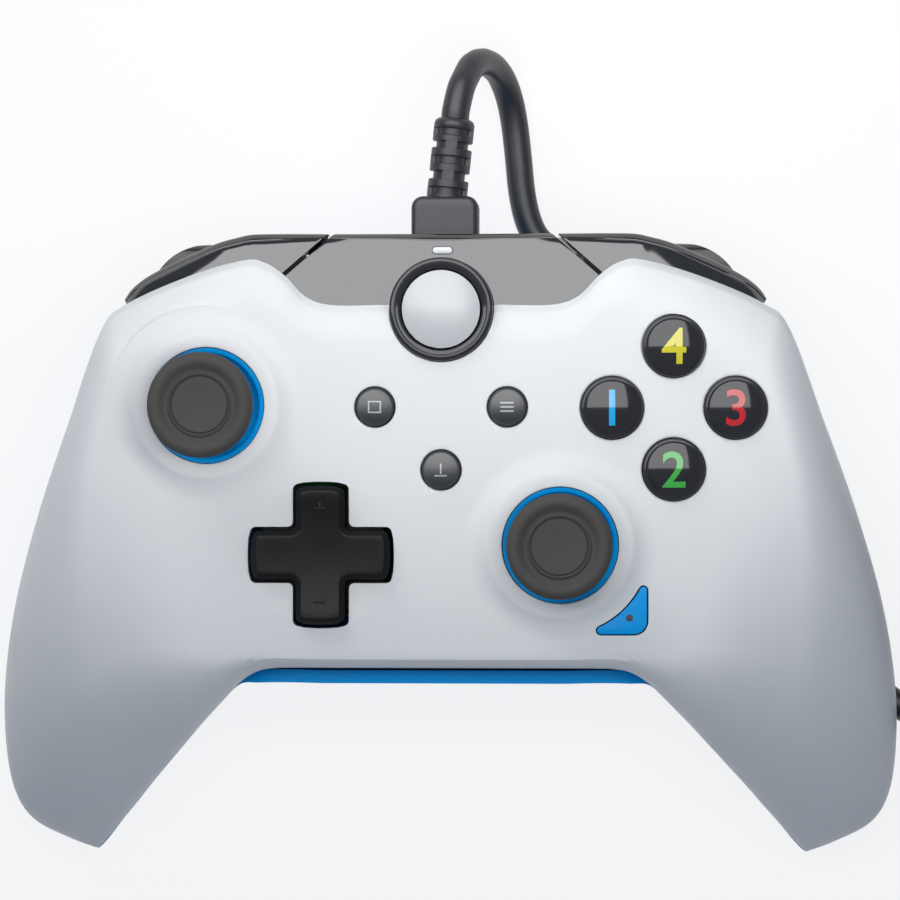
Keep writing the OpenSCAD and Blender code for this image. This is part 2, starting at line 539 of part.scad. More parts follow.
// Frame behind the board: plate, posts, trigger lugs, bumper pins, motor clips
module mid_frame() color([0.25, 0.26, 0.28]) on_table() {
  difference() {
    union() {
      translate([-27 * sx, jack_y + jack_len + 0.5, frame_z - frame_t])
        cube([54 * sx, 22 * sy - jack_y - jack_len - 0.5, frame_t]);
      for (p = hump_posts) translate([p[0], p[1], hump_screw_z]) cylinder(h = frame_z - hump_screw_z, r = 3.2, $fn = 48);
      for (p = board_posts) translate([p[0], p[1], frame_z - frame_t])
        cylinder(h = board_z - board_t - frame_z + frame_t, r = 2.4, $fn = 48);
      for (m = [0, 1]) mirror([m, 0, 0]) frame_side();
    }
    for (p = hump_posts) translate([p[0], p[1], hump_screw_z - 1]) cylinder(h = 7.5, r = screw_r + fit, $fn = 32);
    translate([-7, -14, frame_z - frame_t - 1]) cube([14, 12, frame_t + 2]);
  }
}
module frame_side() {
  bar_y = trigger_axis[0] - 8.7;
  translate([26 * sx, bar_y, frame_z - frame_t]) cube([lug_outer[1] - 26 * sx, 2.6, frame_t]);
  for (l = [lug_inner, lug_outer]) difference() {
    translate([l[0], bar_y, frame_z - frame_t]) union() {
      cube([l[1] - l[0], 2.6, frame_t + 4.4]);
      translate([0, 0, frame_t - 0.6]) cube([l[1] - l[0], 11.4, 5]);
    }
    translate([l[0] - 1, trigger_axis[0], trigger_axis[1]]) rotate([0, 90, 0])
      cylinder(h = 4, r = trigger_pin_r, $fn = 64);
  }
  // Bumper pin on its own arm
  translate([bumper_axis[0] - 2, bar_y, frame_z - frame_t]) cube([4, 2.6, arm_top - frame_z + frame_t]);
  translate([bumper_axis[0] - 2, bar_y, arm_z]) cube([4, bumper_axis[1] - bar_y, arm_top - arm_z]);
  translate([bumper_axis[0], bumper_axis[1], arm_z]) cylinder(h = -9.9 - arm_z, r = 2, $fn = 48);
  translate([bumper_axis[0], bumper_axis[1], arm_top - 0.6]) cylinder(h = 4.2, r = bumper_pin_r, $fn = 48);
  // Shelf that closes the view down through the joint
  translate([bumper_axis[0] - 4.4, bumper_axis[1] - 5.8, arm_z]) cube([3, 7.8, 0.9]);
  // Arm and ring clip of the rumble motor
  clip_y = motor_y[0] + 10.5;
  translate([26 * sx, clip_y, frame_z - frame_t]) cube([motor_at[0] - motor_r - 0.5 - 26 * sx, 5, frame_t]);
  translate([motor_at[0], clip_y, motor_at[1]]) rotate([-90, 0, 0]) difference() {
    cylinder(h = 5, r = motor_r + 1.8, $fn = 96);
    translate([0, 0, -1]) cylinder(h = 7, r = motor_r + fit, $fn = 96);
  }
}

module main_board() color("darkgreen") on_table() difference() {
  translate([0, 0, board_z - board_t]) linear_extrude(board_t) union() {
    board_area(-30, -22, 60, 41.6);
    board_area(-20, 18, 40, 7);
    board_area(-8, 24, 16, 12.6);
    board_area(-8, -32.5, 16, 12);
    board_area(-47.5, 2, 20, 17.4);
    board_area(28, -1, 17.6, 20.4);
    board_area(32, 18, 13.6, 6.6);
    board_area(44, 3.5, 9.5, 13.5);
  }
  for (p = board_posts) translate([p[0], p[1], board_z - 3]) cylinder(h = 6, r = 1.1, $fn = 32);
}
module board_area(x, y, w, h) translate(placed(x, y)) square(placed(w, h));
module board_components() color([0.2, 0.2, 0.22]) on_table() {
  for (p = [view_at, menu_at, share_at, guide_at]) at(p) key_switch();
  translate([-4, -13, board_z]) cube([8, 8, 1.2]);
  translate([2, 16.5, board_z]) cube([5, 4, 1]);
  translate([-8, 16.5, board_z]) cube([3.2, 2.5, 0.8]);
  translate([-6, -20, board_z]) cube([4, 3, 1]);
  translate([4, -20, board_z]) cube([1.6, 3, 1]);
}
module key_switch() {
  translate([-2.3, -2.3, board_z]) cube([4.6, 4.6, 1.2]);
  translate([0, 0, board_z]) cylinder(h = 1.6, r = 1.2, $fn = 32);
}

module guide_bezel() color("black") on_table() at(guide_at) rotate_extrude($fn = 96) polygon([
  [guide_r + button_gap, -9], [bezel_r + 0.7, -9], [bezel_r + 0.7, -8.1], [bezel_r, -8.1], [bezel_r, 0.4],
  [bezel_r - 0.25, 0.85], [bezel_r - 0.7, 1.1], [guide_r + 0.8, 1.05], [guide_r + 0.45, 0.8], [guide_r + button_gap, 0.4]]);
// Domed key: radius, height of its edge and of its crown, retaining flange below
module domed_key(r, edge, crown, flange, foot) {
  h = crown - edge;
  ball = (r * r + h * h) / (2 * h);
  intersection() {
    translate([0, 0, foot + 2]) cylinder(h = crown - foot, r = r, $fn = 96);
    translate([0, 0, crown - ball]) sphere(r = ball, $fn = 96);
  }
  translate([0, 0, -wall - flange_gap - 0.9]) cylinder(h = 0.9, r = flange, $fn = 64);
  translate([0, 0, foot]) cylinder(h = -wall - flange_gap - 0.2 - foot, r = min(r, 2.4), $fn = 48);
}
module guide_button() color("silver") on_table() at(guide_at) {
  h = 1.5;
  ball = (guide_r * guide_r + h * h) / (2 * h);
  intersection() {
    translate([0, 0, -5.6]) cylinder(h = 8, r = guide_r, $fn = 96);
    translate([0, 0, 1.9 - ball]) sphere(r = ball, $fn = 96);
  }
  translate([0, 0, board_z + 2.2]) cylinder(h = 6, r = 2, $fn = 48);
}
module small_key(p) color("black") on_table() at(p)
  domed_key(key_r, key_rise - 0.4, key_rise, key_r + 0.8, board_z + 2.2);
module view_button() small_key(view_at);
module menu_button() small_key(menu_at);
module share_button() small_key(share_at);
module face_button(k) color("black") on_table() at(face_at + button_places[k])
  domed_key(face_r, face_rise - 1.1, face_rise, face_r + 0.7, -7);
module top_button() face_button(0);
module right_button() face_button(1);
module bottom_button() face_button(2);
module left_button() face_button(3);
module face_membrane() color("dimgray") on_table() {
  for (p = button_places) at(face_at + p) {
    translate([0, 0, board_z]) cylinder(h = 1, r = 4.4, $fn = 48);
    translate([0, 0, board_z]) cylinder(h = -7.1 - board_z, r1 = 3.6, r2 = 2.2, $fn = 48);
  }
  at(face_at) translate([0, 0, board_z]) linear_extrude(1) difference() {
    rotate([0, 0, 45]) square(2 * face_pitch * 0.78, center = true);
    circle(r = 3.2, $fn = 48);
  }
}

module dpad() color("black") on_table() at(dpad_at) difference() {
  union() {
    translate([0, 0, -4.8]) linear_extrude(4.8 + dpad_rise) dpad_cross();
    translate([0, 0, -4.8]) cylinder(h = 0.8, r = 11, $fn = 96);
  }
  translate([0, 0, 72 + dpad_rise - 0.7]) sphere(r = 72, $fn = 96);
  translate([0, 0, dpad_ball_z]) sphere(r = dpad_ball_r + fit, $fn = 64);
  translate([0, 0, dpad_ball_z - 4]) cylinder(h = 4, r = dpad_ball_r + fit, $fn = 64);
}
module dpad_pivot() color("silver") on_table() at(dpad_at) translate([0, 0, dpad_ball_z]) sphere(r = dpad_ball_r, $fn = 64);
module dpad_post() color("dimgray") on_table() at(dpad_at) difference() {
  union() {
    translate([0, 0, board_z]) cylinder(h = dpad_ball_z - 1 - board_z, r = 1.3, $fn = 48);
    translate([0, 0, board_z]) cylinder(h = 3.4, r = 2.4, $fn = 48);
  }
  translate([0, 0, dpad_ball_z]) sphere(r = dpad_ball_r + fit, $fn = 64);
}
module dpad_membrane() color("dimgray") on_table() at(dpad_at) {
  translate([0, 0, board_z]) difference() {
    cylinder(h = 1, r = 10.6, $fn = 96);
    translate([0, 0, -1]) cylinder(h = 3, r = 2.7, $fn = 48);
  }
  for (a = [0:90:270]) rotate([0, 0, a]) translate([7.8, 0, board_z])
    cylinder(h = -4.9 - board_z, r1 = 2.8, r2 = 1.8, $fn = 48);
}

// Stick: blue well liner, gimbal module, yoke, pivot, shaft and rubber cap
module stick_ring() rotate_extrude($fn = 96) polygon([[well_r - 0.15, collar_height * 0.5], [well_r - 0.15, -wall - 0.15],
  [well_r + 2.2, -wall - 0.15], [well_r + 2.2, -wall - 0.95], [well_r - 1.3, -wall - 0.95], [well_r - 1.15, -0.6],
  [well_r - 0.9, collar_height * 0.5]]);
module stick_module() difference() {
  translate([-7.5, -7.5, board_z]) cube([15, 15, 9.2]);
  translate([-6.2, -6.2, board_z + 1]) cube([12.4, 12.4, 7.6]);
  translate([0, 0, board_z + 5]) cylinder(h = 6, r = 5, $fn = 64);
  translate([-10, 0, stick_z]) rotate([0, 90, 0]) cylinder(h = 20, r = 1.1 + fit, $fn = 48);
}
module stick_yoke() difference() {
  union() {
    translate([0, 0, stick_z - 1.1]) cylinder(h = 2.2, r = 5.4, $fn = 64);
    intersection() {
      translate([-7.4, 0, stick_z]) rotate([0, 90, 0]) cylinder(h = 14.8, r = 1.1, $fn = 48);
      translate([-7.5, -3, stick_z - 3]) cube([15, 6, 6]);
    }
  }
  translate([0, 0, stick_z - 3]) cylinder(h = 6, r = 3.9, $fn = 64);
  translate([0, -8, stick_z]) rotate([-90, 0, 0]) cylinder(h = 16, r = 0.8 + fit, $fn = 48);
}
module stick_pivot() difference() {
  union() {
    translate([0, 0, stick_z - 1.3]) cylinder(h = 2.6, r = 3, $fn = 64);
    translate([0, -5.1, stick_z]) rotate([-90, 0, 0]) cylinder(h = 10.2, r = 0.8, $fn = 48);
  }
  translate([0, 0, stick_z - 3]) cylinder(h = 6, r = shaft_r + fit, $fn = 64);
}
module stick_shaft() translate([0, 0, stick_z - 2.6]) cylinder(h = cap_rise - 2.2 - stick_z + 2.6, r = shaft_r, $fn = 64);
module stick_cap() translate([0, 0, cap_rise]) rotate_extrude($fn = 96) polygon([[0, -2], [shaft_r + fit, -2],
  [shaft_r + fit, -9.2], [4.1, -9.2], [4.3, -6.2], [5.2, -4.9], [cap_r - 1.1, -4.5], [cap_r - 0.3, -3.8],
  [cap_r, -2.9], [cap_r, -1.5], [cap_r - 0.2, -0.7], [cap_r - 0.6, -0.2], [cap_r - 1.1, 0], [cap_r - 1.6, -0.15],
  [cap_r - 2.3, -0.6], [cap_r - 3, -0.95], [cap_r - 3.4, -1.05], [cap_r - 3.6, -0.85], [cap_r - 5, -0.95], [0, -1.05]]);
module left_stick_ring() color("royalblue") on_table() at(left_stick_at) stick_ring();
module right_stick_ring() color("royalblue") on_table() at(right_stick_at) stick_ring();
module left_stick_cap() color([0.22, 0.21, 0.2]) on_table() at(left_stick_at) stick_cap();
module right_stick_cap() color([0.22, 0.21, 0.2]) on_table() at(right_stick_at) stick_cap();
module left_stick_shaft() color("silver") on_table() at(left_stick_at) stick_shaft();
module right_stick_shaft() color("silver") on_table() at(right_stick_at) stick_shaft();
module left_stick_pivot() color("silver") on_table() at(left_stick_at) stick_pivot();
module right_stick_pivot() color("silver") on_table() at(right_stick_at) stick_pivot();
module left_stick_yoke() color("gray") on_table() at(left_stick_at) stick_yoke();
module right_stick_yoke() color("gray") on_table() at(right_stick_at) stick_yoke();
module left_stick_module() color("darkgray") on_table() at(left_stick_at) stick_module();
module right_stick_module() color("darkgray") on_table() at(right_stick_at) stick_module();

module accent_insert() color("dodgerblue") on_table() difference() {
  union() {
    intersection() {
      translate([0, 0, accent_foot]) linear_extrude(0.3 - accent_foot) accent_shape();
      accent_room();
    }
    translate([0, 0, accent_foot]) linear_extrude(0.9) offset(r = accent_lip, $fn = 32) accent_shape();
  }
  at(accent_light_at) translate([0, 0, -6]) cylinder(h = 10, r = 0.8, $fn = 32);
}
module accent_light() color("white") on_table() at(accent_light_at) translate([0, 0, accent_foot + 0.2]) cylinder(h = -accent_foot - 0.15, r = 0.75, $fn = 32);

module rumble_motor() translate([motor_at[0], 0, motor_at[1]]) rotate([-90, 0, 0]) {
  translate([0, 0, motor_y[0]]) cylinder(h = motor_y[1] - motor_y[0], r = motor_r, $fn = 96);
  translate([0, 0, motor_y[1] - 1]) cylinder(h = 2, r = 2.5, $fn = 48);
  translate([0, 0, motor_y[1] - 1]) cylinder(h = 9, r = 1, $fn = 48);
}
module rumble_weight() translate([motor_at[0], motor_y[1] + 1.4, motor_at[1]]) rotate([-90, 0, 0]) difference() {
  union() {
    cylinder(h = 6, r = 2.6, $fn = 64);
    intersection() {
      cylinder(h = 6, r = weight_r, $fn = 96);
      translate([-10, 0, -1]) cube([20, 10, 8]);
    }
  }
  translate([0, 0, -1]) cylinder(h = 9, r = 1 + fit, $fn = 48);
}
module right_rumble_motor() color("silver") on_table() rumble_motor();
module left_rumble_motor() color("silver") on_table() left_side() rumble_motor();
module right_rumble_weight() color("gray") on_table() rumble_weight();
module left_rumble_weight() color("gray") on_table() left_side() rumble_weight();

module usb_socket() color("silver") on_table() translate([0, 0, outlet_z]) difference() {
  translate([-4.6, rear_y - 10.4, -1.6]) cube([9.2, 7.4, 3.2]);
  translate([-4.1, rear_y - 9.8, -1.15]) cube([8.2, 8, 2.3]);
}
module headset_jack() color([0.15, 0.15, 0.16]) on_table() translate([0, jack_y, jack_z]) difference() {
  union() {
    translate([-3.2, 5.2, -2.5]) cube([6.4, jack_len - 5.2, 2.5 + board_z - board_t - jack_z]);
    rotate([-90, 0, 0]) cylinder(h = 6, r = jack_r + 0.6, $fn = 64);
  }
  translate([0, -1, 0]) rotate([-90, 0, 0]) cylinder(h = 15, r = jack_r, $fn = 64);
}

// Cord: plug in the rear socket, ribbed strain relief, lead, coil, tail, far plug
module cord_plug() color([0.12, 0.12, 0.13]) on_table() {
  translate([0, 0, outlet_z - 4]) linear_extrude(8) round_box([-5.75, plug_y[0]], [5.75, plug_y[1]], 2.2);
  translate([-3.9, plug_y[0] - 8.6, outlet_z - 0.95]) cube([7.8, 9.6, 1.9]);
}
module round_box(a, b, r) {
  translate([a[0] + r, a[1]]) square([b[0] - a[0] - 2 * r, b[1] - a[1]]);
  translate([a[0], a[1] + r]) square([b[0] - a[0], b[1] - a[1] - 2 * r]);
  for (x = [a[0] + r, b[0] - r], y = [a[1] + r, b[1] - r]) translate([x, y]) circle(r = r, $fn = 48);
}
module cord_relief() color([0.12, 0.12, 0.13]) on_table() translate([0.2, plug_y[1], outlet_z]) difference() {
  rotate([0, 0, -relief_lean]) rotate([-90, 0, 0]) {
    translate([0, 0, -0.6]) cylinder(h = relief_len + 0.6, r = 2.75, $fn = 64);
    for (k = [0:4]) translate([0, 0, k == 0 ? -0.6 : k * 2.75]) cylinder(h = k == 0 ? 2.3 : k == 4 ? 2.5 : 1.7, r = 3.5, $fn = 64);
    for (a = [0, 180]) rotate([0, 0, a]) translate([2.4, -0.9, 0]) cube([0.95, 1.8, relief_len - 0.5]);
  }
  translate([-6, -4, -6]) cube([12, 4, 12]);
}
module cord_lead() color([0.12, 0.12, 0.13]) translate([0, plan_shift, 0])
  tube(lead_points, cord_r, 8, relief_dir, [1, 0, 0]);
module cord_coil() color([0.12, 0.12, 0.13]) translate([0, plan_shift, 0])
  tube(coil_route, cord_r, 6, [1, 0, 0], [0, 1, 0]);
module cord_tail() color([0.12, 0.12, 0.13]) translate([0, plan_shift, 0])
  tube(tail_points, cord_r, 8, [0, 1, 0], [0, 1, 0]);
coil_in = coil_r - cord_pitch * layer_turns - cord_r;
coil_top = coil_lift + cord_d + 3 * cord_pitch;
module cord_tie() color([0.1, 0.1, 0.1]) translate([coil_at[0] - 3, coil_at[1] + plan_shift, 0]) difference() {
  translate([0, coil_in - 1.6, 0.1]) cube([6, coil_r + cord_r - coil_in + 2.8, coil_top + 0.8]);
  translate([-1, coil_in - 1, 0.7]) cube([8, coil_r + cord_r - coil_in + 1.6, coil_top - 0.4]);
}
module usb_plug_body() color([0.12, 0.12, 0.13]) translate([usb_plug_at[0], plan_shift, 0])
  linear_extrude(usb_plug_h) round_box([-7.8, usb_plug_at[1]], [7.8, usb_plug_at[1] + usb_plug_len], 2.5);
module usb_plug_shell() color("silver") translate([usb_plug_at[0], usb_plug_at[1] + usb_plug_len + plan_shift, usb_plug_h / 2 - 2.25])
  difference() {
    translate([-6, 0, 0]) cube([12, 18.75, 4.5]);
    translate([-5.6, 2, 2.2]) cube([11.2, 20, 1.95]);
  }

front_shell();
back_shell();
centre_panel();
left_bumper();
right_bumper();
left_trigger();
right_trigger();
left_trigger_pin();
right_trigger_pin();
left_trigger_spring();
right_trigger_spring();
mid_frame();
main_board();
board_components();
guide_bezel();
guide_button();
status_light();
view_button();
menu_button();
share_button();
top_button();
right_button();
bottom_button();
left_button();
face_membrane();
dpad();
dpad_pivot();
dpad_post();
dpad_membrane();
left_stick_ring();
right_stick_ring();
left_stick_cap();
right_stick_cap();
left_stick_shaft();
right_stick_shaft();
left_stick_pivot();
right_stick_pivot();
left_stick_yoke();
right_stick_yoke();
left_stick_module();
right_stick_module();
accent_insert();
accent_light();
left_rumble_motor();
right_rumble_motor();
left_rumble_weight();
right_rumble_weight();
usb_socket();
headset_jack();
housing_screws();
cord_plug();
cord_relief();
cord_lead();
cord_coil();
cord_tail();
cord_tie();
usb_plug_body();
usb_plug_shell();
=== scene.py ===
from math import atan2, cos, degrees, floor, hypot, pi, radians, sin, sqrt

import bmesh
import bpy
from bpy.props import FloatProperty, FloatVectorProperty, PointerProperty
from mathutils import Matrix, Vector


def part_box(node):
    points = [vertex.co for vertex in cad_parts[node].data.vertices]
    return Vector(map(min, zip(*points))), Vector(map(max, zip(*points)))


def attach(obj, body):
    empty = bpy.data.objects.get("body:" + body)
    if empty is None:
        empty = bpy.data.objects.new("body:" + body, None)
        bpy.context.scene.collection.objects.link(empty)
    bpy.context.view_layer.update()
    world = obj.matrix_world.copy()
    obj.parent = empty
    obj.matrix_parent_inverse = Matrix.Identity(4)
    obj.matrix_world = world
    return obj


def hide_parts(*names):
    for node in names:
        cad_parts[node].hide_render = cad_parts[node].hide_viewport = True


bl_info = {
    "name": "Wired Gamepad",
    "version": (1, 0, 0),
    "blender": (4, 5, 0),
    "location": "View3D > Sidebar > Gamepad",
    "description": "Dresses the frame of a wired gamepad with its moulded pieces and finishes",
    "category": "Object",
}

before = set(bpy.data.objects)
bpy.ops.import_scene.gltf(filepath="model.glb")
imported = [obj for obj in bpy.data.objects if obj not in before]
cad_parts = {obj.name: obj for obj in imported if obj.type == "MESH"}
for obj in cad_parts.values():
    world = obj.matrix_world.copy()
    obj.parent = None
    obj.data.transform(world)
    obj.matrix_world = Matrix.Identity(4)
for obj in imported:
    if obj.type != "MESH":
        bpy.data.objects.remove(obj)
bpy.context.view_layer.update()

# Pieces are drawn in millimetres on the grid of the face: x to the right,
# y towards the rear edge, z up from the flat of the face
share_low, share_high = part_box("share_button")
FACE_Y = (share_low[1] + share_high[1]) / 2
FACE_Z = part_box("dpad")[1][2] - 0.0022
FACE = Matrix.Translation((0, FACE_Y, FACE_Z)) @ Matrix.Scale(0.001, 4)
TABLE = Matrix.Translation((0, FACE_Y, 0)) @ Matrix.Scale(0.001, 4)


def place_of(node):
    """Middle of a CAD node on the face's grid, in millimetres."""
    low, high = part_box(node)
    return Vector((500 * (low[0] + high[0]), 500 * (low[1] + high[1] - 2 * FACE_Y), 0))


# Stations of the two shells from the middle to a grip tip, close to the CAD's:
# upper or outer edge, lower or inner edge, height of the surface between them,
# then how far in from each edge the surface takes to reach that height
FRONT_STATIONS = [
    (0, 27.6, -2.2, 0, -33.5, -9, 0, 6, 2.2),
    (10, 27.6, -2.2, 10, -33.5, -9, 0, 6, 2.2),
    (18.4, 27.6, -2.2, 18, -33.5, -9, 0, 6, 2.2),
    (22.8, 29, -2.3, 22, -33.5, -9, 0, 6, 2.2),
    (26.4, 32.6, -2.6, 25.5, -33.5, -9, 0, 6.5, 2.2),
    (29.8, 34.8, -3, 28.5, -33.6, -9.2, 0, 7, 2.4),
    (33.5, 35.2, -3.6, 31.5, -34.2, -9.7, 0, 8, 3),
    (43, 32.6, -5.4, 34.5, -36, -10.7, 0, 10, 4.5),
    (54, 28, -8.4, 37, -38.5, -12.2, 0, 12, 7),
    (58.5, 23.7, -10.5, 39, -40.6, -13.8, 0, 12, 10),
    (64.3, 8.5, -14, 42, -43.8, -16, -0.8, 13, 14),
    (70, -7, -17, 45, -47.2, -18.5, -3, 18, 18),
    (74.6, -22.5, -20, 48, -50.5, -21, -6.5, 22, 20),
    (77, -36, -23, 51, -53.9, -24, -11, 22, 19),
    (77.5, -47, -26, 54, -57.5, -27, -16, 20, 16),
    (76.5, -56, -29, 57, -61, -29.5, -21.5, 15, 12),
    (73.5, -61.5, -31, 59.5, -64, -31.5, -26.5, 9, 8),
    (67.5, -65, -33, 61.5, -66.2, -33, -30.4, 5, 4.5),
    (63.5, -66.6, -34, 62.4, -67, -34, -32.6, 2, 2)]
BACK_STATIONS = [
    (0, 39, -12.4, 0, -36.2, -9.2, -40, 18, 34),
    (10, 39, -12.4, 10, -36.2, -9.2, -40, 18, 34),
    (16, 39, -12.4, 16, -36.2, -9.2, -40, 18, 34),
    (21, 37.6, -12.8, 20.5, -36.2, -9.2, -39, 17, 34),
    (25, 34, -15, 25, -36.1, -9.3, -34.5, 15, 32),
    (28, 30.2, -18.4, 28.5, -36.1, -9.6, -30, 14, 30),
    (32, 27, -19.2, 31.5, -36.2, -10.1, -27.5, 13, 28),
    (41, 25.2, -19.4, 34.5, -36.4, -11.1, -26.5, 13, 28),
    (52, 24.6, -18.6, 37, -38.4, -12.6, -27.5, 15, 26),
    (57.9, 23.9, -11.4, 39, -40.5, -14.1, -29, 20, 24),
    (64.3, 8.5, -14.2, 42, -43.8, -16.2, -30.5, 24, 22),
    (70, -7, -17.2, 45.1, -47.3, -18.7, -32, 26, 20),
    (74.6, -22.5, -20.2, 48.2, -50.8, -21.2, -33.5, 24, 18),
    (77, -36, -23.2, 51.2, -54.2, -24.2, -35.5, 22, 16),
    (77.5, -47, -26.2, 54.2, -57.8, -27.2, -38, 19, 14),
    (76.5, -56, -29.2, 57.3, -61.4, -29.7, -40, 14, 11),
    (73.5, -61.5, -31.2, 59.7, -64.4, -31.7, -39.6, 9, 8),
    (67.5, -65, -33.2, 61.5, -66.4, -33.2, -37.5, 5, 4.5),
    (63.5, -66.7, -34.2, 62.4, -67.1, -34.2, -35.5, 3, 3)]
LAST = len(FRONT_STATIONS) - 1
SHELL_COLUMNS = 144
SHELL_ROWS = 56
WALL = 2.2
SEAM = 0.15
GUIDE_HOLE = 8.8
# Stations that the inner face stops short of a grip tip, and those between
# which the rear chamfer fades out
TIP_PULL = 0.9
CHAMFER_FADE = (9, 11)
# Screw posts in the right half of the back shell: place, and height of the top
SCREW_POSTS = ((12, 16, -34), (12, 1.5, -34), (63, -44, -27.2))
# Height of the stick caps, and of a printed mark over its key
CAP_TOP = 12
PRINT_LIFT = 0.012
# Glossy rear pieces: the panel's rear edge, half width, top, end station and gap
# there, then the pieces' foot and how far they reach in and lie under the shell
PANEL_REAR = 39.8
PANEL_HALF = 18.4
PANEL_TOP = -6
PANEL_STATION = 4.32
PANEL_GAP = 0.6
BROW_FOOT = -11.9
BROW_TUCK = 1.4
BROW_DROP = 0.45
BROW_COLUMNS = 32
# Rear edge of the bumpers from the joint to the outer end, and the front
# shell's station that each of those points stands behind
BUMPER_REAR = [
    (19.4, 39.8, -6), (26, 39.8, -5.3), (31.2, 39.75, -5.2), (33, 39.6, -5.3), (34.6, 39.25, -5.45),
    (38.2, 38.3, -6.0), (43.2, 36.3, -7.35), (47.8, 34.25, -8.75), (51.2, 32.4, -9.5), (53.4, 30.6, -10.2),
    (54.6, 28.9, -11)]
BUMPER_FRONT = [(4.4,), (5,), (5.6,), (5.9,), (6.1,), (6.5,), (7,), (7.4,), (7.7,), (7.83,), (7.92,)]
# Route of the cord from the strain relief to the coil, and from the coil to the
# plug: x and y on the face's grid, height above the table
LEAD_ROUTE = [
    (2.6, 65.4, 22.6), (4.2, 69.4, 18.5), (6.3, 70.8, 13.2), (8.6, 69.4, 7.8), (10.3, 65.4, 3.8),
    (11.3, 60, 2.4), (12, 53.5, 2.4), (12.8, 47, 2.4), (15, 41, 2.4), (20.4, 37, 2.4), (27.8, 34.6, 2.4),
    (35.5, 31.2, 2.4), (42.2, 24.6, 2.4), (46, 14, 2.4), (49, 2, 2.4), (51.5, -9, 2.4), (56, -19, 2.4),
    (63.5, -28, 2.4), (71, -35.2, 2.4), (78, -41, 2.4), (85, -44.4, 2.4), (94, -46.4, 2.6), (103, -47, 3)]
TAIL_ROUTE = [(154, -4, 18.6), (154.1, 4, 15.5), (154.3, 12, 10.5), (154.5, 19, 6.2)]
PLUG_END = [(154.5, 23, 4), (154.5, 25, 4)]
COIL_AT = (121, -15)
COIL_RADIUS = 33
COIL_PITCH = 5.3
COIL_LOW = 0.8 + 2.4
COIL_TURNS = 14.25
LAYER_TURNS = COIL_TURNS / 4
# Straight run before and after the coil
COIL_RUN = 4.8
OUTLET = Vector((0.2, 46.6, 23.8))
RELIEF_LEAN = radians(6)
RELIEF_LENGTH = 13.5


def measure(name, description, default, low, high):
    """Size in metres that a user may change."""
    return FloatProperty(name=name, description=description, default=default, min=low, max=high,
                         unit="LENGTH")


def tint(name, description, default):
    """Colour that a user may change."""
    return FloatVectorProperty(name=name, description=description, subtype="COLOR", size=3, default=default,
                               min=0, max=1)


class GamepadSizes(bpy.types.PropertyGroup):
    """Sizes of the dressed pieces that a user would change."""
    chamfer: measure("Rear chamfer", "Chamfer along the rear edge of the face", 0.0012, 0.0006, 0.002)
    collar: measure("Stick collar", "Height of the raised collar round each stick", 0.0015, 0.0005, 0.002)
    well: measure("Stick well", "Radius of the opening that a stick stands in", 0.00975, 0.009, 0.0105)
    cap: measure("Stick cap", "Radius of a stick's rubber cap", 0.0087, 0.008, 0.009)
    button: measure("Face button", "Radius of a face button", 0.0051, 0.0045, 0.0055)
    key: measure("Small key", "Radius of a small key", 0.0032, 0.0028, 0.0034)
    cord: measure("Cord", "Diameter of the cord", 0.0048, 0.004, 0.006)


class GamepadColours(bpy.types.PropertyGroup):
    """Colours of the moulded pieces."""
    white: tint("White shell", "Front shell", (0.815, 0.825, 0.825))
    blue: tint("Blue plastic", "Back shell, stick wells and accent", (0.0, 0.36, 0.88))
    black: tint("Black gloss", "Panel, bumpers and keys", (0.008, 0.008, 0.009))
    silver: tint("Guide dome", "Domed guide button", (0.55, 0.56, 0.57))
    rubber: tint("Stick rubber", "Caps of the sticks", (0.045, 0.043, 0.04))
    cord: tint("Cord", "Cord, relief and plug", (0.05, 0.05, 0.052))


def sizes():
    """Sizes that the user has set."""
    return bpy.context.scene.gamepad_sizes


def colours():
    """Colours that the user has set."""
    return bpy.context.scene.gamepad_colours


def mm(value):
    """Metres as millimetres."""
    return value * 1000


# Materials

def shader(name):
    """New material, its node tree and its principled shader."""
    material = bpy.data.materials.new(name)
    material.use_nodes = True
    tree = material.node_tree
    return material, tree, tree.nodes["Principled BSDF"]


def put(node, **values):
    """Sets inputs of a node, with _ for a space in their names."""
    for name, value in values.items():
        node.inputs[name.replace("_", " ")].default_value = value


def noise(tree, scale, detail):
    """Noise over the piece's own place, in cycles per metre."""
    place = tree.nodes.new("ShaderNodeTexCoord")
    node = tree.nodes.new("ShaderNodeTexNoise")
    put(node, Scale=scale, Detail=detail)
    tree.links.new(place.outputs["Object"], node.inputs["Vector"])
    return node.outputs["Fac"]


def spread(tree, value, low, high):
    """Maps a noise to a band of values."""
    node = tree.nodes.new("ShaderNodeMapRange")
    put(node, From_Min=0.3, From_Max=0.7, To_Min=low, To_Max=high)
    tree.links.new(value, node.inputs["Value"])
    return node.outputs["Result"]


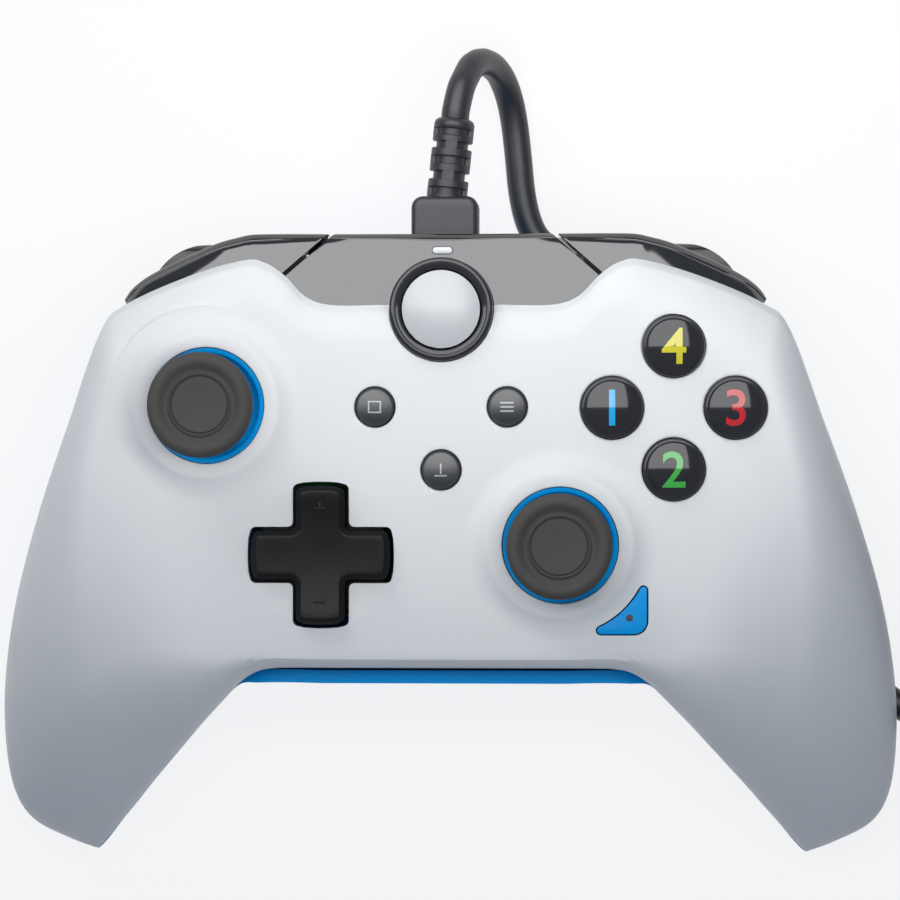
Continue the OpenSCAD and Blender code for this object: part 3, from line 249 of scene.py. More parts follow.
def moulded(name, colour, rough, grain=2600, depth=0.02, shade=0.03, metal=0.0, gloss=0.5, ior=1.5):
    """Moulded finish: faint mottling, uneven gloss and a fine moulded grain."""
    material, tree, base = shader(name)
    put(base, Metallic=metal, Specular_IOR_Level=gloss, IOR=ior)
    mix = tree.nodes.new("ShaderNodeMix")
    mix.data_type = "RGBA"
    mix.inputs["A"].default_value = (*[c * (1 - shade) for c in colour], 1)
    mix.inputs["B"].default_value = (*[min(1, c * (1 + shade)) for c in colour], 1)
    tree.links.new(spread(tree, noise(tree, 55, 4), 0, 1), mix.inputs["Factor"])
    tree.links.new(mix.outputs["Result"], base.inputs["Base Color"])
    tree.links.new(spread(tree, noise(tree, 160, 3), rough * 0.9, rough * 1.1), base.inputs["Roughness"])
    bump = tree.nodes.new("ShaderNodeBump")
    put(bump, Strength=depth, Distance=0.0004)
    tree.links.new(noise(tree, grain, 2), bump.inputs["Height"])
    tree.links.new(bump.outputs["Normal"], base.inputs["Normal"])
    return material


def finish(name):
    """Material of a finish, made on first use."""
    if name in bpy.data.materials:
        return bpy.data.materials[name]
    look = colours()
    printed = (0.07, 500, 0.003, 0.04, 0, 0.75)
    # Colour, roughness, grain, its depth, mottling, metal, gloss and refraction
    finishes = {
        "white_shell": (look.white, 0.42, 3000, 0.06, 0.012, 0, 0.15),
        "blue_shell": (look.blue, 0.4, 3000, 0.06, 0.04, 0, 0.1),
        "black_gloss": (look.black, 0.07, 500, 0.003, 0.1, 0, 0.75),
        "panel_gloss": (look.black, 0.1, 500, 0.004, 0.1, 0, 0.82, 1.6),
        "pad_black": ((0.011, 0.011, 0.0112), 0.3, 1800, 0.02, 0.1, 0, 0.12),
        "key_satin": ((0.02, 0.021, 0.023), 0.34, 1800, 0.02, 0.1, 0, 0.8),
        "trigger_black": ((0.012, 0.012, 0.013), 0.3, 2600, 0.03, 0.1),
        "guide_dome": (look.silver, 0.25, 900, 0.005, 0.02, 0.0, 0.6),
        "stick_rubber": (look.rubber, 0.55, 2400, 0.12, 0.12, 0, 0.5),
        "cord_rubber": (look.cord, 0.5, 2000, 0.06, 0.1, 0, 0.4),
        "light_pipe": ((0.75, 0.78, 0.8), 0.25, 900, 0.01, 0.03, 0, 0.6),
        "grey_plastic": ((0.05, 0.052, 0.056), 0.5, 2600, 0.08, 0.1),
        "steel": ((0.56, 0.57, 0.58), 0.28, 1800, 0.02, 0.06, 1.0),
        "board_green": ((0.012, 0.09, 0.04), 0.35, 1200, 0.05, 0.3),
        "chip_black": ((0.02, 0.02, 0.022), 0.5, 2600, 0.06, 0.1),
        "silicone": ((0.16, 0.16, 0.165), 0.7, 1800, 0.05, 0.08, 0, 0.3),
        "mark_blue": ((0.013, 0.42, 0.86), *printed),
        "mark_green": ((0.055, 0.43, 0.06), *printed),
        "mark_red": ((0.58, 0.018, 0.022), *printed),
        "mark_yellow": ((0.68, 0.6, 0.025), *printed),
        "mark_grey": ((0.45, 0.46, 0.47), 0.3, 900, 0.005, 0.04),
    }
    return moulded(name, *finishes[name])


# Mesh tools

def piece(bm, name, body, look, replaced=(), angle=35, to=FACE):
    """Puts a finished mesh in its place, on its body and in its material slot."""
    bm.transform(to)
    return settle(draft(bm, name), body, look, replaced, angle)


def settle(made, body, look, replaced=(), angle=35):
    if made.type == "MESH":
        made.data.shade_smooth()
        made.data.set_sharp_from_angle(angle=radians(angle))
    made.data.materials.clear()
    made.data.materials.append(finish(look))
    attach(made, body)
    if replaced:
        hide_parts(*replaced)
    return made


def draft(bm, name):
    """Loose object of a mesh, to cut or to settle."""
    mesh = bpy.data.meshes.new(name)
    bm.to_mesh(mesh)
    bm.free()
    made = bpy.data.objects.new(name, mesh)
    bpy.context.scene.collection.objects.link(made)
    return made


def baked(made):
    """Mesh of an object as its modifiers leave it."""
    bpy.context.view_layer.update()
    return bpy.data.meshes.new_from_object(made.evaluated_get(bpy.context.evaluated_depsgraph_get()))


def combine(target, tools, operation):
    """Joins or cuts a draft with other drafts, and removes those."""
    for tool in tools:
        step = target.modifiers.new("Combine", "BOOLEAN")
        step.object = tool
        step.operation = operation
        step.solver = "EXACT"
    shaped = baked(target)
    target.modifiers.clear()
    old = target.data
    target.data = shaped
    bpy.data.meshes.remove(old)
    for tool in tools:
        left = tool.data
        bpy.data.objects.remove(tool)
        bpy.data.meshes.remove(left)
    if len(shaped.polygons) < 12:
        raise RuntimeError("Cutting left nothing of " + target.name)


def undraft(target):
    """Takes a draft back into a mesh to finish."""
    bm = bmesh.new()
    bm.from_mesh(target.data)
    old = target.data
    bpy.data.objects.remove(target)
    bpy.data.meshes.remove(old)
    bmesh.ops.remove_doubles(bm, verts=bm.verts, dist=0.002)
    return bm


def spun(profile, steps=96, at=(0, 0, 0)):
    """Solid turned from an outline of radius and height."""
    bm = bmesh.new()
    corners = [bm.verts.new((r, 0, z)) for r, z in profile]
    closed = profile[0][0] > 0 or profile[-1][0] > 0
    pairs = list(zip(corners, corners[1:]))
    if closed:
        pairs.append((corners[-1], corners[0]))
    lines = [bm.edges.new(pair) for pair in pairs]
    bmesh.ops.spin(bm, geom=corners + lines, cent=(0, 0, 0), axis=(0, 0, 1), angle=2 * pi, steps=steps,
                   use_merge=True)
    bmesh.ops.remove_doubles(bm, verts=bm.verts, dist=0.0005)
    bmesh.ops.recalc_face_normals(bm, faces=bm.faces)
    shift(bm, at)
    return bm


def prism(outline, low, high, at=(0, 0, 0)):
    """Solid raised from a flat outline."""
    bm = bmesh.new()
    corners = [bm.verts.new((p[0], p[1], low)) for p in outline]
    base = bm.faces.new(corners)
    raised = bmesh.ops.extrude_face_region(bm, geom=[base])
    top = [g for g in raised["geom"] if isinstance(g, bmesh.types.BMVert)]
    bmesh.ops.translate(bm, verts=top, vec=(0, 0, high - low))
    bmesh.ops.recalc_face_normals(bm, faces=bm.faces)
    shift(bm, at)
    return bm


def shift(bm, way):
    """Moves a whole mesh."""
    bmesh.ops.translate(bm, verts=bm.verts, vec=way)


def soften(bm, edges, width, segments=3):
    """Rounds some edges of a mesh."""
    bmesh.ops.bevel(bm, geom=edges, offset=width, offset_type="OFFSET", segments=segments, profile=0.5,
                    affect="EDGES", clamp_overlap=True, material=-1)


def sharp_edges(bm, least):
    """Edges that fold by more than an angle in degrees."""
    return [e for e in bm.edges if len(e.link_faces) == 2 and e.calc_face_angle(0) > radians(least)]


def slice_grid(bm, lines, pitch, dist):
    """Cuts a mesh along a square grid, so that it can follow a curve."""
    for k in range(-lines, lines + 1):
        for normal in ((1, 0, 0), (0, 1, 0)):
            geom = bm.verts[:] + bm.edges[:] + bm.faces[:]
            at = Vector(normal) * k * pitch
            bmesh.ops.bisect_plane(bm, geom=geom, plane_co=at, plane_no=normal, dist=dist)


def oblong(x, y, w, h):
    """Outline of a rectangle from its middle and half sizes."""
    return [(x - w, y - h), (x + w, y - h), (x + w, y + h), (x - w, y + h)]


def arc(centre, radius, start, end, count):
    """Points along an arc, angles in degrees."""
    return [(centre[0] + radius * cos(radians(start + (end - start) * k / count)),
             centre[1] + radius * sin(radians(start + (end - start) * k / count))) for k in range(count + 1)]


def join(target, other):
    """Adds one mesh to another."""
    loose = bpy.data.meshes.new("loose")
    other.to_mesh(loose)
    other.free()
    target.from_mesh(loose)
    bpy.data.meshes.remove(loose)


# Forms of the shells

def curve_through(rows, s):
    """Smooth curve through listed rows."""
    n = len(rows) - 1
    k = max(0, min(n - 1, floor(s)))
    a, b, c, d = rows[max(0, k - 1)], rows[k], rows[k + 1], rows[min(n, k + 2)]
    t = s - k
    return [0.5 * (2 * q + (r - p) * t + (2 * p - 5 * q + 4 * r - w) * t * t
                   + (3 * q - p - 3 * r + w) * t ** 3)
            for p, q, r, w in zip(a, b, c, d)]


def smoothed(rows):
    """Points of a route, with one more between each two."""
    return [Vector(curve_through(rows, k / 2)) for k in range(2 * len(rows) - 1)]


def held(value, low=0.0, high=1.0):
    """Value kept between two others."""
    return max(low, min(high, value))


def quarter(t):
    """Height of a quarter round, from an edge."""
    q = 1 - held(t)
    return sqrt(1 - q * q)


def ease(t):
    """Soft rise from none to whole."""
    q = held(t)
    return q * q * (3 - 2 * q)


def chamfer_share(s):
    """Whole along the rear edge, none on the grips."""
    start, end = CHAMFER_FADE
    return 1 - ease((s - start) / (end - start))


def chamfered(d, reach, width):
    """Chamfer that rises half way, then a soft swell up to the face."""
    c = min(width, reach / 3)
    t = min(1, (d - c) / (reach - c))
    return 0.5 * d / c if d < c else 1 - 0.5 * (1 - t) ** 2


def station(rows, s, drop):
    """Station of a shell, its edges lowered to leave the seam."""
    r = curve_through(rows, s)
    r[6] = held(r[6], -40, 0)
    r[2] -= drop
    r[5] -= drop
    return r


def hollow(r):
    """Station moved in by the wall, less where the grip tip narrows."""
    run = (r[3] - r[0], r[4] - r[1])
    length = hypot(*run)
    step = min(WALL, length / 3)
    way = (run[0] / length * step, run[1] / length * step)
    edge = (r[2] + r[5]) / 2
    lift = r[6] - edge
    deep = max(abs(lift) / 4, abs(lift) - WALL)
    return [r[0] + way[0], r[1] + way[1], r[2], r[3] - way[0], r[4] - way[1], r[5],
            edge + (deep if lift > 0 else -deep), max(0.5, r[7] - step), max(0.5, r[8] - step)]


def shell_point(r, w, share, width):
    """Point of a station at a fraction across it."""
    run = hypot(r[3] - r[0], r[4] - r[1])
    edge = r[2] + (r[5] - r[2]) * w
    up = (1 - share) * quarter(w * run / r[7]) + share * chamfered(w * run, r[7], width)
    high = edge + (r[6] - edge) * up * quarter((1 - w) * run / r[8])
    return r[0] + (r[3] - r[0]) * w, r[1] + (r[4] - r[1]) * w, high


def across(k, count, run, width):
    """Fraction across a shell, with two close lines at the chamfer's crease."""
    c = min(width, run / 5)
    near = [0, 0.5 * c, 0.9 * c, 1.1 * c]
    if k < 4:
        return near[k] / run
    start = near[3] / run
    return start + (1 - start) * (1 - cos(pi * (k - 3) / (count - 3))) / 2


def shell_form(rows, drop, chamfer):
    """Closed moulding with its wall: outer face, inner face and the rim."""
    bm = bmesh.new()
    width = mm(sizes().chamfer)
    count = SHELL_ROWS
    for inside in (False, True):
        grid = bmesh.ops.create_grid(bm, x_segments=2 * SHELL_COLUMNS, y_segments=count, size=1)
        for v in grid["verts"]:
            s = abs(v.co.x) * LAST
            side = -1 if v.co.x < 0 else 1
            k = round((v.co.y + 1) / 2 * count)
            if inside:
                r = hollow(station(rows, s - TIP_PULL * (s / LAST) ** 6, drop))
                x, y, z = shell_point(r, (1 - cos(pi * k / count)) / 2, 0, width)
            else:
                r = station(rows, s, drop)
                w = across(k, count, hypot(r[3] - r[0], r[4] - r[1]), width)
                x, y, z = shell_point(r, w, chamfer_share(s) if chamfer else 0, width)
            v.co = (side * x, y, z)
    rims = [e for e in bm.edges if e.is_boundary]
    bmesh.ops.bridge_loops(bm, edges=rims)
    bmesh.ops.recalc_face_normals(bm, faces=bm.faces)
    return bm


def face_height(y):
    """Height of the face at the accent, where it rounds to the lower edge."""
    low = FRONT_STATIONS[4]
    return low[5] - low[5] * quarter((y - low[4]) / low[8])


# Cord

def coil_point(a):
    """Point of the coil after some turns: in and out by layers."""
    layer = min(3, floor(a / LAYER_TURNS))
    f = a - layer * LAYER_TURNS
    radius = COIL_RADIUS - COIL_PITCH * (f if layer % 2 == 0 else LAYER_TURNS - f)
    climb = sum(ease((a - k * LAYER_TURNS) * 2 + 0.5) for k in (1, 2, 3))
    turn = radians(270 + 360 * a)
    height = COIL_LOW + COIL_PITCH * climb
    return Vector((COIL_AT[0] + radius * cos(turn), COIL_AT[1] + radius * sin(turn), height))


def cord_route():
    """Whole route of the cord, in millimetres above the table."""
    way = Vector((sin(RELIEF_LEAN), cos(RELIEF_LEAN), 0))
    leave = OUTLET + way * RELIEF_LENGTH
    start = coil_point(0) - Vector((COIL_RUN, 0, 0))
    end = coil_point(COIL_TURNS) + Vector((0, COIL_RUN, 0))
    route = [leave, leave + way * 1.5]
    route += smoothed(LEAD_ROUTE)
    route += [start - Vector((3, 0, 0)), start]
    route += [coil_point(k / 24) for k in range(round(COIL_TURNS * 24) + 1)]
    route += [end, end + Vector((0, 2, 0))]
    route += smoothed(TAIL_ROUTE) + [Vector(p) for p in PLUG_END]
    return [TABLE @ p for p in route]


class GAMEPAD_OT_stage(bpy.types.Operator):
    """Lay the pale floor, hang the soft lights and set the camera"""
    bl_idname = "gamepad.stage"
    bl_label = "Stage"

    def execute(self, context):
        scene = context.scene
        scene.view_settings.view_transform = "Standard"
        eye = bpy.data.cameras.new("photo_camera")
        eye.lens = 144
        eye.sensor_width = 36
        eye.clip_end = 10
        camera = bpy.data.objects.new("photo_camera", eye)
        camera.location = (0.02977, 0.01698, 0.6393)
        camera.rotation_euler = (0, radians(2.7), 0)
        scene.collection.objects.link(camera)
        scene.camera = camera
        self.floor()
        # Two lamps light the surfaces, and one more is only seen in the gloss
        near = self.lamp(scene, "near_softbox", (0.018, 0.054, 0.221), (0.015, 0.3, 0.04), (0.16, 0.16), 0.4)
        rear = self.lamp(scene, "rear_softbox", (-0.314, 0.704, 0.3), (0.2, 0.3, 0.04), (0.4, 0.4), 2.15)
        for lamp in (near, rear):
            lamp.visible_glossy = False
        sheen = self.lamp(scene, "sheen_softbox", (-0.3, 0.95, 1.2), (-0.3, 0.94, 0), (2.0, 1.8), 42)
        sheen.visible_diffuse = False
        world = bpy.data.worlds.new("studio")
        world.use_nodes = True
        scene.world = world
        sky = world.node_tree.nodes["Background"]
        put(sky, Color=(0.89, 0.99, 1.16, 1), Strength=0.28)
        return {"FINISHED"}

    def lamp(self, scene, name, place, target, size, power):
        """Soft lamp that faces a target and isn't seen itself."""
        data = bpy.data.lights.new(name, "AREA")
        data.shape = "RECTANGLE"
        data.size = size[0]
        data.size_y = size[1]
        data.energy = power
        lamp = bpy.data.objects.new(name, data)
        lamp.location = place
        lamp.rotation_euler = (Vector(target) - Vector(place)).to_track_quat("-Z", "Y").to_euler()
        lamp.visible_camera = False
        scene.collection.objects.link(lamp)
        return lamp

    def floor(self):
        """Pale floor that stays near white to the camera and in reflections."""
        bm = bmesh.new()
        bmesh.ops.create_grid(bm, x_segments=8, y_segments=8, size=3)
        ground = draft(bm, "floor")
        material, tree, base = shader("floor_white")
        put(base, Base_Color=(0.9, 0.9, 0.9, 1), Roughness=0.9, Specular_IOR_Level=0.0)
        path = tree.nodes.new("ShaderNodeLightPath")
        shown = path.outputs["Is Camera Ray"]
        for ray in ("Is Glossy Ray", "Is Transmission Ray"):
            either = tree.nodes.new("ShaderNodeMath")
            either.operation = "MAXIMUM"
            tree.links.new(shown, either.inputs[0])
            tree.links.new(path.outputs[ray], either.inputs[1])
            shown = either.outputs[0]
        share = tree.nodes.new("ShaderNodeMath")
        share.operation = "MULTIPLY"
        share.inputs[1].default_value = 0.8
        tree.links.new(shown, share.inputs[0])
        glow = tree.nodes.new("ShaderNodeEmission")
        put(glow, Strength=1.05)
        mix = tree.nodes.new("ShaderNodeMixShader")
        tree.links.new(share.outputs[0], mix.inputs["Fac"])
        tree.links.new(base.outputs["BSDF"], mix.inputs[1])
        tree.links.new(glow.outputs["Emission"], mix.inputs[2])
        tree.links.new(mix.outputs["Shader"], tree.nodes["Material Output"].inputs["Surface"])
        ground.data.materials.append(material)


class GAMEPAD_OT_cord(bpy.types.Operator):
    """Lay the cord from its strain relief to its coil and plug"""
    bl_idname = "gamepad.cord"
    bl_label = "Cord"

    def execute(self, context):
        route = cord_route()
        line = bpy.data.curves.new("cord", "CURVE")
        line.dimensions = "3D"
        line.bevel_depth = sizes().cord / 2
        line.bevel_resolution = 5
        line.resolution_u = 4
        line.use_fill_caps = True
        spline = line.splines.new("BEZIER")
        spline.bezier_points.add(len(route) - 1)
        for k, p in enumerate(route):
            knot = spline.bezier_points[k]
            before = route[max(0, k - 1)]
            after = route[min(len(route) - 1, k + 1)]
            way = (after - before).normalized()
            knot.handle_left_type = "FREE"
            knot.handle_right_type = "FREE"
            knot.co = p
            knot.handle_left = p - way * (p - before).length / 3
            knot.handle_right = p + way * (after - p).length / 3
        made = bpy.data.objects.new("cord", line)
        context.scene.collection.objects.link(made)
        settle(made, "housing", "cord_rubber", ("cord_lead", "cord_coil", "cord_tail"))
        return {"FINISHED"}


class GAMEPAD_OT_front_shell(bpy.types.Operator):
    """Mould the white front shell with its collars and openings"""
    bl_idname = "gamepad.front_shell"
    bl_label = "Front shell"

    def execute(self, context):
        body = draft(shell_form(FRONT_STATIONS, 0, True), "front_form")
        sticks = [place_of("left_stick_ring"), place_of("right_stick_ring")]
        combine(body, [draft(self.collar(at), "collar") for at in sticks], "UNION")
        well = mm(sizes().well)
        rim = mm(sizes().collar) - 0.12
        tools = [draft(self.opening(well, 0.12, at, rim), "well") for at in sticks]
        for name in ("top_button", "right_button", "bottom_button", "left_button"):
            tools.append(draft(self.opening(mm(sizes().button) + 0.25, 0.35, place_of(name)), "mouth"))
        for name in ("view_button", "menu_button", "share_button"):
            tools.append(draft(self.opening(mm(sizes().key) + 0.25, 0.25, place_of(name)), "mouth"))
        tools.append(draft(self.opening(GUIDE_HOLE, 0.2, place_of("guide_bezel")), "mouth"))
        tools.append(draft(self.dish(place_of("dpad")), "dish"))
        combine(body, tools, "DIFFERENCE")
        cross = draft(prism(cross_outline(0.65), -8, 8, place_of("dpad")), "cross")
        wedge = draft(prism(wedge_outline(0.24), -8, 4), "wedge")
        combine(body, [cross, wedge], "DIFFERENCE")
        bm = undraft(body)
        piece(bm, "white_front", "housing", "white_shell", ("front_shell",), 28)
        return {"FINISHED"}

    def collar(self, at):
        """Raised collar round a stick, that flares out into the face."""
        r = mm(sizes().well)
        h = mm(sizes().collar)
        flare = [(r + 2.7 + 4.3 * k / 12, h * 0.8 * (1 - k / 12) ** 2.6 - 0.02 * k / 12) for k in range(13)]
        crest = [(r - 0.6, h - 0.3), (r + 0.1, h - 0.1), (r + 0.6, h - 0.03), (r + 1.2, h),
                 (r + 1.9, h - 0.03), (r + 2.25, h - 0.09), (r + 2.5, h - 0.18)]
        return spun([(r - 0.6, -1)] + crest + flare + [(r + 7, -1)], 160, at)

    def opening(self, r, lip, at, level=0):
        """Cutter with a rounded mouth at the face."""
        mouth = [(r + lip - lip * cos(radians(a)), level - lip + lip * sin(radians(a)))
                 for a in (0, 30, 60, 85)]
        wide = r + lip + 0.3
        above = [(wide, level + 0.3), (wide, level + 4), (0, level + 4)]
        return spun([(0, -8), (r, -8)] + mouth + above, 128, at)

    def dish(self, at):
        """Cutter of the shallow dish round the direction pad."""
        edge = 12.2
        deep = 0.6
        ball = (edge * edge + deep * deep) / (2 * deep)
        radii = [edge * k / 14 for k in range(15)]
        floor_line = [(r, ball - deep - sqrt(ball * ball - r ** 2)) for r in radii]
        return spun(floor_line + [(edge + 0.5, 0.06), (edge + 0.5, 1), (0, 1)], 128, at)


def cross_outline(grow):
    """Outline of the direction pad, its tips a little arced."""
    arm = 4.05 + grow
    tip = 11.6 + grow
    inner = 0.9
    outer = 1.0
    bow = 0.35
    corner = []
    for quarter_turn in range(4):
        turn = radians(90 * quarter_turn)
        side = arc((arm + inner, -arm - inner), inner, 180, 90, 5)
        tip_low = arc((tip - bow - outer, -arm + outer), outer, -90, -8, 5)
        rows = [arm * q for q in (-0.6, -0.3, 0, 0.3, 0.6)]
        crown = [(tip - bow + bow * (1 - (y / arm) ** 2), y) for y in rows]
        tip_high = [(x, -y) for x, y in reversed(tip_low)]
        for x, y in side + tip_low + crown + tip_high:
            corner.append((x * cos(turn) - y * sin(turn), x * sin(turn) + y * cos(turn)))
    return corner


def wedge_outline(grow):
    """Outline of the corner piece beside the right stick, its corners rounded."""
    stick = place_of("right_stick_ring")
    bow, right, low = 15.1, 14.4, -14.8
    tip, heel = 0.6, 2.2
    tip_x = sqrt((bow + tip) ** 2 - (low + tip) ** 2)
    tip_y = -sqrt((bow + tip) ** 2 - (right - tip) ** 2)
    first = degrees(atan2(low + tip, tip_x))
    second = degrees(atan2(tip_y, right - tip))
    points = arc((tip_x, low + tip), tip + grow, 270, 180 + first, 8)
    points += arc((0, 0), bow - grow, first, second, 18)[1:-1]
    points += arc((right - tip, tip_y), tip + grow, 180 + second, 0, 8)
    points += arc((right - heel, low + heel), heel + grow, 0, -90, 8)
    return [(stick.x + x, stick.y + y) for x, y in points]


class GAMEPAD_OT_back_shell(bpy.types.Operator):
    """Mould the blue back shell with its screw wells and outlets"""
    bl_idname = "gamepad.back_shell"
    bl_label = "Back shell"

    def execute(self, context):
        body = draft(shell_form(BACK_STATIONS, SEAM, False), "back_form")
        stems = []
        tools = []
        for side in (-1, 1):
            for x, y, z in SCREW_POSTS:
                seat = z - 1.8
                post = [(0, z - 4.4), (4, z - 4.4), (4, z), (0, z)]
                well = [(0, seat - 20), (2.7, seat - 20), (2.7, seat), (1.46, seat), (1.46, seat + 6),
                        (0, seat + 6)]
                stems.append(draft(spun(post, 48, (side * x, y, 0)), "post"))
                tools.append(draft(spun(well, 48, (side * x, y, 0)), "screw_well"))
        combine(body, stems, "UNION")
        jack = spun([(0, -4), (3.2, -4), (3.2, 6), (0, 6)], 64)
        bmesh.ops.rotate(jack, verts=jack.verts, cent=(0, 0, 0), matrix=Matrix.Rotation(-pi / 2, 3, "X"))
        shift(jack, (0, -36, -17.1))
        tools.append(draft(jack, "jack_mouth"))
        tools.append(draft(prism(oblong(0, 38, 5.2, 4), -18.6, -13.8), "outlet"))
        combine(body, tools, "DIFFERENCE")
        bm = undraft(body)
        piece(bm, "blue_back", "housing", "blue_shell", ("back_shell",), 28)
        return {"FINISHED"}


def brow_section(p, q, front_z, rear_z):
    """Section of a glossy rear piece: top, narrow rear chamfer, skirt, inner face."""
    run = hypot(q[0] - p[0], q[1] - p[1])
    e = ((q[0] - p[0]) / run, (q[1] - p[1]) / run)
    c = min(1.0, 0.2 * run)
    t = min(1.8, 0.4 * run)
    flat = run - c
    bulge = 0.35

    def crowned(k, count):
        return front_z + (rear_z - front_z) * k / count + bulge * 4 * (k / count) * (1 - k / count)

    top = [(flat * k / 12, crowned(k, 12)) for k in range(12)]
    edge = [(flat - 0.2, rear_z + 0.02), (flat - 0.14, rear_z - 0.1), (flat - 0.02, rear_z - 0.1),
            (flat + 0.06, rear_z - 0.05), (run - 0.3 * c, rear_z - 0.6 * c), (run - 0.07, rear_z - c + 0.02),
            (run, rear_z - c - 0.2)]
    low = BROW_FOOT
    skirt = [(run, rear_z - c - (rear_z - c - low) * k / 5) for k in range(1, 5)]
    foot = [(run, low + 0.25), (run - 0.25, low), (run - t + 0.2, low), (run - t, low + 0.2)]
    inner = [(run - t, rear_z - c - t * 0.6), (run - t - c, rear_z - t)]
    under = [(flat * k / 6, crowned(k, 6) - t) for k in (4, 3, 2, 1, 0)]
    loop = top + edge + skirt + foot + inner + under
    return [(p[0] + e[0] * d, p[1] + e[1] * d, z) for d, z in loop]


def brow_form(sections):
    """Closed solid through a row of sections, with softened ends."""
    bm = bmesh.new()
    rings = []
    for section in sections:
        ring = [bm.verts.new(p) for p in section]
        rings.append([bm.edges.new((a, b)) for a, b in zip(ring, ring[1:] + ring[:1])])
    for one, two in zip(rings, rings[1:]):
        bmesh.ops.bridge_loops(bm, edges=one + two)
    ends = [bmesh.ops.contextual_create(bm, geom=ring)["faces"] for ring in (rings[0], rings[-1])]
    bmesh.ops.recalc_face_normals(bm, faces=bm.faces)
    if len(bm.faces) < len(sections[0]):
        raise RuntimeError("A rear piece has no faces")
    lips = [e for faces in ends for f in faces for e in f.edges]
    soften(bm, lips, 0.15, 2)
    return bm


def tucked(s):
    """Point under the front shell's rear edge."""
    r = curve_through(FRONT_STATIONS, s)
    return r[0], r[1] - BROW_TUCK, r[2] - BROW_DROP


class GAMEPAD_OT_brow(bpy.types.Operator):
    """Shape the glossy centre panel, both bumpers and the status light"""
    bl_idname = "gamepad.brow"
    bl_label = "Panel and bumpers"

    def execute(self, context):
        for side, name in ((-1, "left"), (1, "right")):
            rows = []
            for k in range(8 * (len(BUMPER_REAR) - 1) + 1):
                f = tucked(curve_through(BUMPER_FRONT, k / 8)[0])
                q = curve_through(BUMPER_REAR, k / 8)
                rows.append([(side * x, y, z) for x, y, z in brow_section(f, q, f[2], q[2])])
            piece(brow_form(rows), name + "_bumper_key", name + "_bumper", "panel_gloss",
                  (name + "_bumper",), 30)
        rows = []
        for k in range(-BROW_COLUMNS, BROW_COLUMNS + 1):
            out = abs(k) / BROW_COLUMNS
            f = tucked(PANEL_STATION * out)
            side = -1 if k < 0 else 1
            front = (f[0] - PANEL_GAP * out, f[1])
            section = brow_section(front, (PANEL_HALF * out, PANEL_REAR), f[2], PANEL_TOP)
            rows.append([(side * x, y, z) for x, y, z in section])
        panel = draft(brow_form(rows), "panel_form")
        # Black tabs and legs close each joint between panel and bumper from below, as the inner frame would;
        # their black is partly painted shade, so that the gap reads dark
        tabs = []
        for side in (-1, 1):
            outline = [(side * x, y) for x, y in ((15.5, 36.6), (24.5, 36.6), (24.5, 39.2), (15.5, 39.6))]
            tabs.append(draft(prism(outline, -13.4, -12.6), "joint_tab"))
            tabs.append(draft(prism(oblong(side * 16.55, 38.9, 1.05, 0.7), -13, -11), "joint_leg"))
        combine(panel, tabs, "UNION")
        bore = [(0, -20), (GUIDE_HOLE, -20), (GUIDE_HOLE, 10), (0, 10)]
        hole = draft(spun(bore, 128, place_of("guide_bezel")), "hole")
        light = draft(prism(pill(0.1), -20, 10, place_of("status_light")), "slot")
        combine(panel, [hole, light], "DIFFERENCE")
        piece(undraft(panel), "black_panel", "housing", "panel_gloss", ("centre_panel",), 30)
        lens = prism(pill(0), -8.4, -5.1, place_of("status_light"))
        soften(lens, [e for e in lens.edges if all(v.co.z > -6 for v in e.verts)], 0.2)
        piece(lens, "status_lens", "housing", "light_pipe", ("status_light",))
        return {"FINISHED"}


def pill(grow):
    """Outline of the small status light."""
    return arc((1.1, 0), 0.6 + grow, -90, 90, 12) + arc((-1.1, 0), 0.6 + grow, 90, 270, 12)


class GAMEPAD_OT_triggers(bpy.types.Operator):
    """Soften the edges of both triggers"""
    bl_idname = "gamepad.triggers"
    bl_label = "Triggers"

    def execute(self, context):
        for name in ("left_trigger", "right_trigger"):
            bm = bmesh.new()
            bm.from_mesh(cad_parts[name].data)
            bmesh.ops.remove_doubles(bm, verts=bm.verts, dist=2e-6)
            bmesh.ops.dissolve_limit(bm, angle_limit=radians(1), verts=bm.verts, edges=bm.edges)
            rims = [e for e in sharp_edges(bm, 40) if e.calc_length() > 0.0008]
            soften(bm, rims, 0.0003, 2)
            bmesh.ops.triangulate(bm, faces=[f for f in bm.faces if len(f.verts) > 4])
            piece(bm, name + "_key", name, "trigger_black", (name,), 30, Matrix.Identity(4))
        return {"FINISHED"}


def cap_height(radius, edge, crown, d):
    """Height of a dome at a distance from its middle."""
    h = crown - edge
    ball = (radius * radius + h * h) / (2 * h)
    return crown - ball + sqrt(max(0, ball * ball - d * d))


def dome(radius, edge, crown, rows=18):
    """Outline of a dome from its crown down to its edge."""
    return [(radius * k / rows, cap_height(radius, edge, crown, radius * k / rows)) for k in range(rows + 1)]


class GAMEPAD_OT_guide(bpy.types.Operator):
    """Turn the guide button's black bezel and its plain silver dome"""
    bl_idname = "gamepad.guide"
    bl_label = "Guide button"

    def execute(self, context):
        at = place_of("guide_bezel")
        ring = [(6.75, -9), (9.35, -9), (9.35, -8.1), (8.65, -8.1), (8.65, 0.45), (8.6, 0.7), (8.45, 0.88),
                (8.2, 0.98), (7.95, 1.0), (7.8, 0.98), (7.55, 0.72), (7.2, 0.62), (6.95, 0.55), (6.8, 0.4),
                (6.75, 0.2)]
        piece(spun(ring, 160, at), "guide_ring", "housing", "black_gloss",
              ("guide_bezel",), 30)
        body = dome(6.5, 0.55, 1.9, 20) + [(6.5, 0.3), (6.5, -5.6), (2, -5.6), (2, -10.8), (0, -10.8)]
        piece(spun(body, 160, at), "guide_dome", "guide_button", "guide_dome",
              ("guide_button",), 40)
        return {"FINISHED"}


